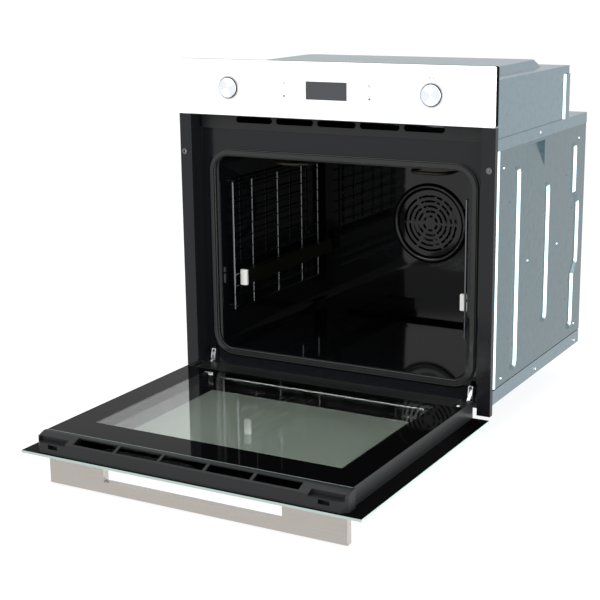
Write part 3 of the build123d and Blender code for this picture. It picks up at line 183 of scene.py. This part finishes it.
def round_edges(piece, width, segments=2, angle=35):
    """Rounds a piece's sharp edges to that width and shades it smooth up to that angle."""
    bpy.ops.object.select_all(action="DESELECT")
    piece.select_set(True)
    bpy.context.view_layer.objects.active = piece
    bevel = piece.modifiers.new("edges", "BEVEL")
    bevel.width = width
    bevel.segments = segments
    bevel.limit_method = "ANGLE"
    bevel.angle_limit = math.radians(angle)
    bpy.ops.object.modifier_apply(modifier=bevel.name)
    bpy.ops.object.shade_smooth_by_angle(angle=math.radians(angle))
    flat = piece.modifiers.new("flat", "WEIGHTED_NORMAL")
    flat.keep_sharp = True
    bpy.ops.object.modifier_apply(modifier=flat.name)


def rounded_copy(node, material, width, segments=2, angle=35, merge_flat=True):
    """A copy of a CAD node with its points merged and its sharp edges rounded; it replaces the node."""
    piece = bpy.data.objects.new(node + "_rounded", frame["nodes"][node].data.copy())
    bpy.context.collection.objects.link(piece)
    start_edit(piece)
    bpy.ops.mesh.select_all(action="SELECT")
    bpy.ops.mesh.remove_doubles(threshold=1e-5)
    if merge_flat:
        bpy.ops.mesh.dissolve_limited(angle_limit=math.radians(0.5))
    end_edit()
    piece.data.materials.clear()
    piece.data.materials.append(material)
    round_edges(piece, width, segments, angle)
    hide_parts(node)
    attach(piece, BODY_OF[node])
    return piece


# Hot-dip galvanised steel: cool grey zinc with faint spangles about 9 mm across, satin gloss
# that changes a little from place to place. The side panels get a darker copy of it: painted shade on the
# side of the box.
SPANGLE = 0.009
FOLD_ROUND = 0.0004
FOLD_ANGLE = 18
SHEETS = (("galvanised_steel", "#9cb0ba", "#93a8b2",
           ("body_cover", "control_housing", "top_cover", "base_panel")),
          ("galvanised_steel_side_painted_shade", "#86999f", "#7e9198", ("side_panels",)))
for name, light, dark, sheets in SHEETS:
    galvanised, tree, shader = new_material(name, light, 0.22, 1.0)
    place = add_node(tree, "ShaderNodeTexCoord")
    spangle = add_node(tree, "ShaderNodeTexVoronoi", {"Scale": 1 / SPANGLE}, Vector=place.outputs["Object"])
    tone = add_node(tree, "ShaderNodeValToRGB", Fac=spangle.outputs["Distance"])
    tone.color_ramp.elements[0].color = linear(light)
    tone.color_ramp.elements[1].color = linear(dark)
    tree.links.new(tone.outputs["Color"], shader.inputs["Base Color"])
    cloud = add_node(tree, "ShaderNodeTexNoise", {"Scale": 14.0, "Detail": 3.0},
                     Vector=place.outputs["Object"])
    gloss = add_node(tree, "ShaderNodeMapRange", {"To Min": 0.18, "To Max": 0.25}, Value=cloud.outputs["Fac"])
    tree.links.new(gloss.outputs["Result"], shader.inputs["Roughness"])
    if name == "galvanised_steel":
        paint(galvanised, "rear_panel", "blower_housing", "blower_motor", "convection_motor")
    for sheet in sheets:
        rounded_copy(sheet, galvanised, FOLD_ROUND, angle=FOLD_ANGLE, merge_flat=sheet != "top_cover")

# The sides of the upper box are black just behind the panel, where they run into the front frame.
collar_black, tree, shader = new_material("black_lacquer_on_steel", "#08090a", 0.4, Specular_IOR_Level=0.2)
place = add_node(tree, "ShaderNodeTexCoord")
grain = add_node(tree, "ShaderNodeTexNoise", {"Scale": 600.0}, Vector=place.outputs["Object"])
bump = add_node(tree, "ShaderNodeBump", {"Strength": 0.1, "Distance": 0.0002}, Height=grain.outputs["Fac"])
tree.links.new(bump.outputs["Normal"], shader.inputs["Normal"])
COLLAR_BACK = 0.011
for sheet in ("control_housing", "top_cover"):
    piece = bpy.data.objects[sheet + "_rounded"]
    start_edit(piece)
    bpy.ops.mesh.select_all(action="SELECT")
    bpy.ops.mesh.bisect(plane_co=(0, COLLAR_BACK, 0), plane_no=(0, 1, 0))
    end_edit()
    piece.data.materials.append(collar_black)
    for face in piece.data.polygons:
        if face.center.y < COLLAR_BACK and abs(face.normal.x) > 0.5:
            face.material_index = 1

# Bright zinc plate of screws and hinge parts: smoother than the casing, slightly blue.
zinc, tree, shader = new_material("bright_zinc_plate", "#cfd3d6", 0.16, 1.0)
place = add_node(tree, "ShaderNodeTexCoord")
cloud = add_node(tree, "ShaderNodeTexNoise", {"Scale": 220.0}, Vector=place.outputs["Object"])
gloss = add_node(tree, "ShaderNodeMapRange", {"To Min": 0.1, "To Max": 0.24}, Value=cloud.outputs["Fac"])
tree.links.new(gloss.outputs["Result"], shader.inputs["Roughness"])
paint(zinc, "hinge_receivers", "left_spindle", "right_spindle", "handle_screws")

# ---------------------------------------------------------------- casing screws
# Self-tapping pan-head screws of steel, zinc plated, that hold the covers and the base rails.
# Their heads are rounded.
SCREW_ROUND = 0.0006
rounded_copy("casing_screws", zinc, SCREW_ROUND)

# ---------------------------------------------------------------- front frame
# Pressed steel in charcoal enamel: side flanges, the recess that takes the door, and the plate
# round the cavity mouth. Its surface is glossy and very slightly wavy.
front_enamel, tree, shader = new_material("charcoal_vitreous_enamel", "#131417", 0.18, Specular_IOR_Level=0.3)
place = add_node(tree, "ShaderNodeTexCoord")
peel = add_node(tree, "ShaderNodeTexNoise", {"Scale": 300.0}, Vector=place.outputs["Object"])
bump = add_node(tree, "ShaderNodeBump", {"Strength": 0.03, "Distance": 0.0005}, Height=peel.outputs["Fac"])
tree.links.new(bump.outputs["Normal"], shader.inputs["Normal"])
FRAME_ROUND = 0.0004
rounded_copy("front_frame", front_enamel, FRAME_ROUND)

# ---------------------------------------------------------------- cavity
# Pressed steel liner, back and fan cover in black vitreous enamel, glossy and a little wavy
# like orange peel.
enamel, tree, shader = new_material("black_vitreous_enamel", "#08090b", 0.05, Specular_IOR_Level=0.4)
place = add_node(tree, "ShaderNodeTexCoord")
peel = add_node(tree, "ShaderNodeTexNoise", {"Scale": 260.0}, Vector=place.outputs["Object"])
bump = add_node(tree, "ShaderNodeBump", {"Strength": 0.02, "Distance": 0.0005}, Height=peel.outputs["Fac"])
tree.links.new(bump.outputs["Normal"], shader.inputs["Normal"])
# The convection fan is aluminised; it gets the black enamel too, painted shade for the fan in the dark behind
# its cover.
paint(enamel, "cavity_liner", "cavity_back", "convection_fan")
FAN_COVER_ROUND = 0.0002
rounded_copy("fan_cover", enamel, FAN_COVER_ROUND, 1)

# Chromed wire of the side racks and the ringed bushes of the cabinet screws; their chrome is given a dark
# grey colour, painted shade for chrome that mirrors the black enamel round it.
wire, tree, shader = new_material("chromed_wire", "#6c6f73", 0.08, 1.0)
place = add_node(tree, "ShaderNodeTexCoord")
cloud = add_node(tree, "ShaderNodeTexNoise", {"Scale": 160.0}, Vector=place.outputs["Object"])
gloss = add_node(tree, "ShaderNodeMapRange", {"To Min": 0.05, "To Max": 0.14}, Value=cloud.outputs["Fac"])
tree.links.new(gloss.outputs["Result"], shader.inputs["Roughness"])
paint(wire, "side_racks", "cabinet_bushes")

# Oiled drawn steel of the telescopic runners: dark olive, drawn along its length.
drawn, tree, shader = new_material("oiled_drawn_steel", "#34342d", 0.32, 0.9)
place = add_node(tree, "ShaderNodeTexCoord")
along = add_node(tree, "ShaderNodeMapping", {"Scale": (900.0, 12.0, 900.0)}, Vector=place.outputs["Object"])
lines = add_node(tree, "ShaderNodeTexNoise", {"Scale": 1.0}, Vector=along.outputs["Vector"])
gloss = add_node(tree, "ShaderNodeMapRange", {"To Min": 0.25, "To Max": 0.42}, Value=lines.outputs["Fac"])
tree.links.new(gloss.outputs["Result"], shader.inputs["Roughness"])
paint(drawn, "runner_rails", "left_runner_middle", "right_runner_middle", "left_runner_slide",
      "right_runner_slide")

# White nylon of the runners' end caps, moulded, faintly satin.
nylon, tree, shader = new_material("white_nylon", "#f0f0ec", 0.42)
place = add_node(tree, "ShaderNodeTexCoord")
grain = add_node(tree, "ShaderNodeTexNoise", {"Scale": 900.0}, Vector=place.outputs["Object"])
bump = add_node(tree, "ShaderNodeBump", {"Strength": 0.08, "Distance": 0.0002}, Height=grain.outputs["Fac"])
tree.links.new(bump.outputs["Normal"], shader.inputs["Normal"])
paint(nylon, "thermostat", "oven_lamp")
CAP_ROUND = 0.0006
for side in ("left", "right"):
    rounded_copy(side + "_runner_cap", nylon, CAP_ROUND)

# Sheathed heating elements: dark, dry oxidised steel.
sheath, tree, shader = new_material("oxidised_element_sheath", "#37342f", 0.5, 0.8)
place = add_node(tree, "ShaderNodeTexCoord")
scale = add_node(tree, "ShaderNodeTexNoise", {"Scale": 120.0}, Vector=place.outputs["Object"])
tone = add_node(tree, "ShaderNodeValToRGB", Fac=scale.outputs["Fac"])
tone.color_ramp.elements[0].color = linear("#2c2a27")
tone.color_ramp.elements[1].color = linear("#4a443c")
tree.links.new(tone.outputs["Color"], shader.inputs["Base Color"])
paint(sheath, "grill_element", "base_element", "ring_element")

# Glass wool round the cavity, loose and yellow.
wool, tree, shader = new_material("glass_wool", "#c9bf8f", 0.95)
place = add_node(tree, "ShaderNodeTexCoord")
fluff = add_node(tree, "ShaderNodeTexNoise", {"Scale": 90.0, "Detail": 6.0}, Vector=place.outputs["Object"])
bump = add_node(tree, "ShaderNodeBump", {"Strength": 0.6, "Distance": 0.004}, Height=fluff.outputs["Fac"])
tree.links.new(bump.outputs["Normal"], shader.inputs["Normal"])
paint(wool, "insulation")

# ---------------------------------------------------------------- door seal
# Extruded silicone gasket clipped round the mouth: a flat foot with three rounded ribs.
rubber, tree, shader = new_material("silicone_rubber", "#131415", 0.26)
place = add_node(tree, "ShaderNodeTexCoord")
grain = add_node(tree, "ShaderNodeTexNoise", {"Scale": 700.0}, Vector=place.outputs["Object"])
bump = add_node(tree, "ShaderNodeBump", {"Strength": 0.1, "Distance": 0.0003}, Height=grain.outputs["Fac"])
tree.links.new(bump.outputs["Normal"], shader.inputs["Normal"])
seal_low, seal_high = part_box("door_seal")
SEAL_CORNER = 0.042
# each rib: how far in from the seal's outer edge, its radius, its depth
RIBS = ((0.0016, 0.0016, 0.0210), (0.0056, 0.0022, 0.0198), (0.0102, 0.0016, 0.0208))
seal_parts = []
for inset, radius, rib_y in RIBS:
    bpy.ops.object.select_all(action="DESELECT")
    bpy.ops.mesh.primitive_plane_add(size=2, location=(0, rib_y, (seal_low[2] + seal_high[2]) / 2),
                                     rotation=(math.pi / 2, 0, 0))
    rib = bpy.context.object
    rib.scale = (seal_high[0] - inset, (seal_high[2] - seal_low[2]) / 2 - inset, 1)
    bpy.ops.object.transform_apply(location=True, rotation=True, scale=True)
    start_edit(rib)
    bpy.ops.mesh.select_all(action="SELECT")
    bpy.ops.mesh.bevel(offset=SEAL_CORNER - inset, segments=14, affect="VERTICES")
    bpy.ops.mesh.delete(type="ONLY_FACE")
    end_edit()
    bpy.ops.object.convert(target="CURVE")
    rib.data.bevel_depth = radius
    rib.data.bevel_resolution = 3
    bpy.ops.object.convert(target="MESH")
    seal_parts.append(rib)
for rib in seal_parts:
    rib.select_set(True)
bpy.ops.object.join()
seal = bpy.context.object
seal.name = "door_seal_ribs"
seal.data.materials.append(rubber)
bpy.ops.object.shade_smooth_by_angle(angle=math.radians(40))
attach(seal, "body")
paint(rubber, "door_seal")

# ---------------------------------------------------------------- control panel
# White back-printed float glass on a black moulded carrier, with a dark display window between
# the two knobs. The glass is ground at its edges and bonded to the carrier.
KNOB_X = 0.19
KNOB_Z = 0.5225
white_glass, tree, shader = new_material("back_printed_white_glass", "#fafbfb", 0.04)
place = add_node(tree, "ShaderNodeTexCoord")
cloud = add_node(tree, "ShaderNodeTexNoise", {"Scale": 30.0}, Vector=place.outputs["Object"])
gloss = add_node(tree, "ShaderNodeMapRange", {"To Min": 0.03, "To Max": 0.06}, Value=cloud.outputs["Fac"])
tree.links.new(gloss.outputs["Result"], shader.inputs["Roughness"])
GLASS_ROUND = 0.0006
rounded_copy("control_glass", white_glass, GLASS_ROUND)

# Printed marks, grey, a hair proud of the glass: a dot over the left knob, two small
# strokes over the right one, and touch marks above and below a hairline beside the display.
mark_ink, tree, shader = new_material("grey_ceramic_ink", "#55585c", 0.4)
place = add_node(tree, "ShaderNodeTexCoord")
grain = add_node(tree, "ShaderNodeTexNoise", {"Scale": 2000.0}, Vector=place.outputs["Object"])
bump = add_node(tree, "ShaderNodeBump", {"Strength": 0.05, "Distance": 0.0001}, Height=grain.outputs["Fac"])
tree.links.new(bump.outputs["Normal"], shader.inputs["Normal"])
glass_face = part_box("control_glass")[0][1]
INK = 0.00015
TOUCH_X, TOUCH_DZ, TOUCH_SIZE = 0.080, 0.0105, 0.0042
HAIRLINE, HAIRLINE_W = 0.019, 0.0004
STROKE_W, STROKE_H = 0.0012, 0.0030
DOT = 0.0022
# each mark: its X, its height over the knobs' axis, its width and height, its corners
MARKS = [(-KNOB_X, 0.0245, DOT, DOT, 12),
         (0.1865, 0.0265, STROKE_W, STROKE_H, 4), (0.1935, 0.0265, STROKE_W, STROKE_H, 4)]
for x in (-TOUCH_X, TOUCH_X):
    MARKS += [(x, TOUCH_DZ, TOUCH_SIZE, TOUCH_SIZE, 12), (x, -TOUCH_DZ, TOUCH_SIZE, TOUCH_SIZE, 6),
              (x, 0.0, HAIRLINE, HAIRLINE_W, 4)]
marks = []
for x, dz, wide, high, corners in MARKS:
    bpy.ops.object.select_all(action="DESELECT")
    turn = math.pi / 4 if corners == 4 else 0
    bpy.ops.mesh.primitive_cylinder_add(vertices=corners, radius=0.5 if corners > 4 else math.sqrt(0.5),
                                        depth=1, location=(0, 0, 0), rotation=(0, 0, turn))
    mark = bpy.context.object
    bpy.ops.object.transform_apply(location=False, rotation=True, scale=False)
    mark.rotation_euler = (math.pi / 2, 0, 0)
    mark.scale = (wide, high, INK)
    mark.location = (x, glass_face - INK / 2, KNOB_Z + dz)
    bpy.ops.object.transform_apply(location=True, rotation=True, scale=True)
    if corners == 12 and wide > DOT:
        start_edit(mark)
        bpy.ops.mesh.select_mode(type="FACE")
        bpy.ops.mesh.select_all(action="DESELECT")
        end_edit()
        for face in mark.data.polygons:
            face.select = abs(face.normal.y) > 0.9
        start_edit(mark)
        bpy.ops.mesh.inset(thickness=0.0008)
        bpy.ops.mesh.bridge_edge_loops()
        end_edit()
    marks.append(mark)
bpy.ops.object.select_all(action="DESELECT")
for mark in marks:
    mark.select_set(True)
bpy.context.view_layer.objects.active = marks[0]
bpy.ops.object.join()
marks = bpy.context.object
marks.name = "panel_marks"
marks.data.materials.append(mark_ink)
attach(marks, "body")

# Smoked glass over the display: dark grey, polished.
smoked, tree, shader = new_material("smoked_glass", "#3a3c40", 0.08)
place = add_node(tree, "ShaderNodeTexCoord")
cloud = add_node(tree, "ShaderNodeTexNoise", {"Scale": 60.0}, Vector=place.outputs["Object"])
gloss = add_node(tree, "ShaderNodeMapRange", {"To Min": 0.06, "To Max": 0.11}, Value=cloud.outputs["Fac"])
tree.links.new(gloss.outputs["Result"], shader.inputs["Roughness"])
paint(smoked, "display_window")

# Moulded black plastic: fine spark-eroded grain, drawn coarser than real so that it shows.
plastic, tree, shader = new_material("moulded_black_plastic", "#131416", 0.42, Specular_IOR_Level=0.35)
place = add_node(tree, "ShaderNodeTexCoord")
grain = add_node(tree, "ShaderNodeTexNoise", {"Scale": 800.0}, Vector=place.outputs["Object"])
bump = add_node(tree, "ShaderNodeBump", {"Strength": 0.15, "Distance": 0.0003}, Height=grain.outputs["Fac"])
tree.links.new(bump.outputs["Normal"], shader.inputs["Normal"])
paint(plastic, "glass_spacers", "terminal_block", "blower_impeller", "selector_switch")

# The carrier behind the glass and the air duct are of a matt black grade.
matt_plastic, tree, shader = new_material("matt_black_plastic", "#050506", 0.7, Specular_IOR_Level=0.02)
place = add_node(tree, "ShaderNodeTexCoord")
grain = add_node(tree, "ShaderNodeTexNoise", {"Scale": 700.0}, Vector=place.outputs["Object"])
bump = add_node(tree, "ShaderNodeBump", {"Strength": 0.1, "Distance": 0.0003}, Height=grain.outputs["Fac"])
tree.links.new(bump.outputs["Normal"], shader.inputs["Normal"])
paint(matt_plastic, "panel_carrier", "air_duct")
GRILLE_ROUND = 0.0005
rounded_copy("vent_grille", plastic, GRILLE_ROUND)

# Printed circuit board of the controls: glass-fibre laminate with green lacquer over its tracks.
board, tree, shader = new_material("printed_circuit_board", "#1f5a35", 0.5)
place = add_node(tree, "ShaderNodeTexCoord")
tracks = add_node(tree, "ShaderNodeTexVoronoi", {"Scale": 250.0, "distance": "MANHATTAN"},
                  Vector=place.outputs["Object"])
tone = add_node(tree, "ShaderNodeValToRGB", Fac=tracks.outputs["Distance"])
tone.color_ramp.elements[0].color = linear("#1a4e2d")
tone.color_ramp.elements[1].color = linear("#2c6e44")
tree.links.new(tone.outputs["Color"], shader.inputs["Base Color"])
paint(board, "control_board")

# ---------------------------------------------------------------- knobs
# Retractable knobs turned from aluminium, their faces spun to fine rings, in chromed bezels.
# The rings are drawn 0.6 mm apart, coarser than real, so that they show.
RING_STEP = 0.0006
KNOB_ROUND = 0.0007
for side, x in (("left", -KNOB_X), ("right", KNOB_X)):
    spun, tree, shader = new_material(side + "_spun_aluminium", "#f0f4f9", 0.2, 1.0)
    place = add_node(tree, "ShaderNodeTexCoord")
    centred = add_node(tree, "ShaderNodeMapping",
                       {"Location": (-x, 0.0, -KNOB_Z), "Scale": (1.0, 0.0, 1.0)},
                       Vector=place.outputs["Object"])
    distance = add_node(tree, "ShaderNodeVectorMath", {"operation": "LENGTH"},
                        Vector=centred.outputs["Vector"])
    rings = add_node(tree, "ShaderNodeMath", {"operation": "MULTIPLY"}, Value=distance.outputs["Value"])
    rings.inputs[1].default_value = 2 * math.pi / RING_STEP
    wave = add_node(tree, "ShaderNodeMath", {"operation": "SINE"}, Value=rings.outputs["Value"])
    bump = add_node(tree, "ShaderNodeBump", {"Strength": 0.35, "Distance": 0.0001},
                    Height=wave.outputs["Value"])
    tree.links.new(bump.outputs["Normal"], shader.inputs["Normal"])
    rounded_copy(side + "_knob", spun, KNOB_ROUND)

# The bezel is chromed. Its inner band is painted dark, painted shade for the gap round the knob, and its
# outer rim is painted grey, painted shade at its edge against the white glass.
KNOB_GAP_SHADE_R, RIM_SHADE_R, BEZEL_R = 0.0184, 0.0196, 0.02
BEZEL_ROUND = 0.0004
chrome, tree, shader = new_material("chromed_bezel", "#e2e3e5", 0.07, 1.0)
place = add_node(tree, "ShaderNodeTexCoord")
parts = add_node(tree, "ShaderNodeSeparateXYZ", Vector=place.outputs["Object"])
side_x = add_node(tree, "ShaderNodeMath", {"operation": "ABSOLUTE"}, Value=parts.outputs["X"])
both = add_node(tree, "ShaderNodeCombineXYZ", X=side_x.outputs["Value"], Z=parts.outputs["Z"])
centred = add_node(tree, "ShaderNodeMapping", {"Location": (-KNOB_X, 0.0, -KNOB_Z)},
                   Vector=both.outputs["Vector"])
distance = add_node(tree, "ShaderNodeVectorMath", {"operation": "LENGTH"},
                    Vector=centred.outputs["Vector"])
radius = add_node(tree, "ShaderNodeMapRange", {"From Max": BEZEL_R}, Value=distance.outputs["Value"])
tone = add_node(tree, "ShaderNodeValToRGB", Fac=radius.outputs["Result"])
tone.color_ramp.interpolation = "CONSTANT"
tone.color_ramp.elements[0].color = linear("#17181a")
tone.color_ramp.elements[1].color = linear("#8b8e92")
tone.color_ramp.elements[1].position = RIM_SHADE_R / BEZEL_R
bright_band = tone.color_ramp.elements.new(KNOB_GAP_SHADE_R / BEZEL_R)
bright_band.color = linear("#e8e9eb")
tree.links.new(tone.outputs["Color"], shader.inputs["Base Color"])
bezels = rounded_copy("knob_bezels", chrome, BEZEL_ROUND)
# The bore's walls, facing the knob, get the matt black plastic: painted shade in the gap round the knob.
bezels.data.materials.append(matt_plastic)
for face in bezels.data.polygons:
    from_axis = Vector((face.center.x - math.copysign(KNOB_X, face.center.x), 0, face.center.z - KNOB_Z))
    if face.normal.dot(from_axis.normalized()) < -0.5:
        face.material_index = 1

# ---------------------------------------------------------------- hinges
# Zinc-plated steel arms, latches and hinge bodies, stamped and riveted, with their stamped
# edges broken.
HINGE_ROUND = 0.0004
for part in ("hinge_arms", "left_latch", "right_latch", "door_hinges"):
    rounded_copy(part, zinc, HINGE_ROUND)

# ---------------------------------------------------------------- door panes
# Outer pane: float glass, printed white outside and black inside round an opaque window: its inner face is
# near white, painted light of the bright floor seen through the door, and its outer face near black, painted
# shade of the dark cavity.
# Inner pane: float glass with a black printed border round a larger, clear window. Both are ground at their
# edges.
clear, tree, shader = new_material("clear_float_glass", "#f8fcfa", 0.0, IOR=1.5, Transmission_Weight=1.0)
# The window's faces: near white inside as painted light of the floor below, near black outside as painted
# shade of the cavity.
painted_light_window, tree, shader = new_material("window_painted_light_of_floor", "#fbfdf3", 0.04)
dark_window, tree, shader = new_material("window_painted_cavity_shade", "#0b0c0c", 0.03)
black_print, tree, shader = new_material("black_enamel_print_on_glass", "#060607", 0.04,
                                         Specular_IOR_Level=0.05)
place = add_node(tree, "ShaderNodeTexCoord")
cloud = add_node(tree, "ShaderNodeTexNoise", {"Scale": 25.0}, Vector=place.outputs["Object"])
gloss = add_node(tree, "ShaderNodeMapRange", {"To Min": 0.02, "To Max": 0.05}, Value=cloud.outputs["Fac"])
tree.links.new(gloss.outputs["Result"], shader.inputs["Roughness"])
outer_print, tree, shader = new_material("matt_black_print_on_glass", "#050506", 0.12,
                                         Specular_IOR_Level=0.015)
place = add_node(tree, "ShaderNodeTexCoord")
cloud = add_node(tree, "ShaderNodeTexNoise", {"Scale": 25.0}, Vector=place.outputs["Object"])
gloss = add_node(tree, "ShaderNodeMapRange", {"To Min": 0.08, "To Max": 0.16}, Value=cloud.outputs["Fac"])
tree.links.new(gloss.outputs["Result"], shader.inputs["Roughness"])
edge_glass, tree, shader = new_material("ground_glass_edge", "#9fb0ab", 0.35, IOR=1.5)
paint(clear, "door_middle_glass", "lamp_lens")


def pane(name, node, window, upper, lower, seen_above, seen_below):
    """A pane with a window: upper and lower are its faces' prints, seen_above and seen_below its window."""
    low, high = (Vector(corner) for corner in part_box(node))
    bpy.ops.object.select_all(action="DESELECT")
    bpy.ops.mesh.primitive_grid_add(x_subdivisions=3, y_subdivisions=3, size=1, location=(0, 0, 0))
    piece = bpy.context.object
    piece.name = name
    columns = (low.x, window[0][0], window[1][0], high.x)
    rows = (low.y, window[0][1], window[1][1], high.y)
    for vertex in piece.data.vertices:
        vertex.co = (columns[round((vertex.co.x + 0.5) * 3)], rows[round((vertex.co.y + 0.5) * 3)], low.z)
    start_edit(piece)
    bpy.ops.mesh.select_all(action="SELECT")
    bpy.ops.mesh.extrude_region_move(TRANSFORM_OT_translate={"value": (0, 0, high.z - low.z)})
    bpy.ops.mesh.select_all(action="SELECT")
    bpy.ops.mesh.normals_make_consistent(inside=False)
    end_edit()
    for material in (edge_glass, upper, lower, seen_above, seen_below):
        piece.data.materials.append(material)
    for face in piece.data.polygons:
        middle = face.center
        inside = window[0][0] < middle.x < window[1][0] and window[0][1] < middle.y < window[1][1]
        if abs(face.normal.z) < 0.5:
            face.material_index = 0
        elif inside:
            face.material_index = 3 if face.normal.z > 0 else 4
        else:
            face.material_index = 1 if face.normal.z > 0 else 2
    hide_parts(node)
    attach(piece, "door")


OUTER_WINDOW = ((-0.190, -0.330), (0.190, -0.095))
INNER_WINDOW = ((-0.222, -0.385), (0.222, -0.068))
pane("door_outer_pane", "door_outer_glass", OUTER_WINDOW, outer_print, white_glass, painted_light_window, dark_window)
pane("door_inner_pane", "door_inner_glass", INNER_WINDOW, black_print, black_print, clear, clear)

# ---------------------------------------------------------------- door frame and handle
# Moulded top trim with air slots, black side rails and base rail, and a flat handle of brushed
# steel. The rails are folded sheet steel with a black powder coat, faintly grained.
TRIM_ROUND = 0.0008
rounded_copy("door_trim", plastic, TRIM_ROUND)
rail_paint, tree, shader = new_material("black_powder_coat", "#141516", 0.3)
place = add_node(tree, "ShaderNodeTexCoord")
grain = add_node(tree, "ShaderNodeTexNoise", {"Scale": 500.0}, Vector=place.outputs["Object"])
bump = add_node(tree, "ShaderNodeBump", {"Strength": 0.12, "Distance": 0.0003}, Height=grain.outputs["Fac"])
tree.links.new(bump.outputs["Normal"], shader.inputs["Normal"])
RAIL_ROUND = 0.0003
for rail in ("door_side_rails", "door_base_rail"):
    rounded_copy(rail, rail_paint, RAIL_ROUND, 1)

# Brushed stainless steel: warm grey, brushed along the handle, lines drawn 0.5 mm apart to show.
brushed, tree, shader = new_material("brushed_stainless_steel", "#b5afaa", 0.36, 1.0)
place = add_node(tree, "ShaderNodeTexCoord")
along = add_node(tree, "ShaderNodeMapping", {"Scale": (25.0, 1900.0, 1900.0)}, Vector=place.outputs["Object"])
lines = add_node(tree, "ShaderNodeTexNoise", {"Scale": 1.0, "Detail": 2.0}, Vector=along.outputs["Vector"])
bump = add_node(tree, "ShaderNodeBump", {"Strength": 0.2, "Distance": 0.0002}, Height=lines.outputs["Fac"])
tree.links.new(bump.outputs["Normal"], shader.inputs["Normal"])
tone = add_node(tree, "ShaderNodeValToRGB", Fac=lines.outputs["Fac"])
tone.color_ramp.elements[0].color = linear("#aba59f")
tone.color_ramp.elements[1].color = linear("#bfb9b4")
tree.links.new(tone.outputs["Color"], shader.inputs["Base Color"])
HANDLE_ROUND = 0.0006
rounded_copy("door_handle", brushed, HANDLE_ROUND)
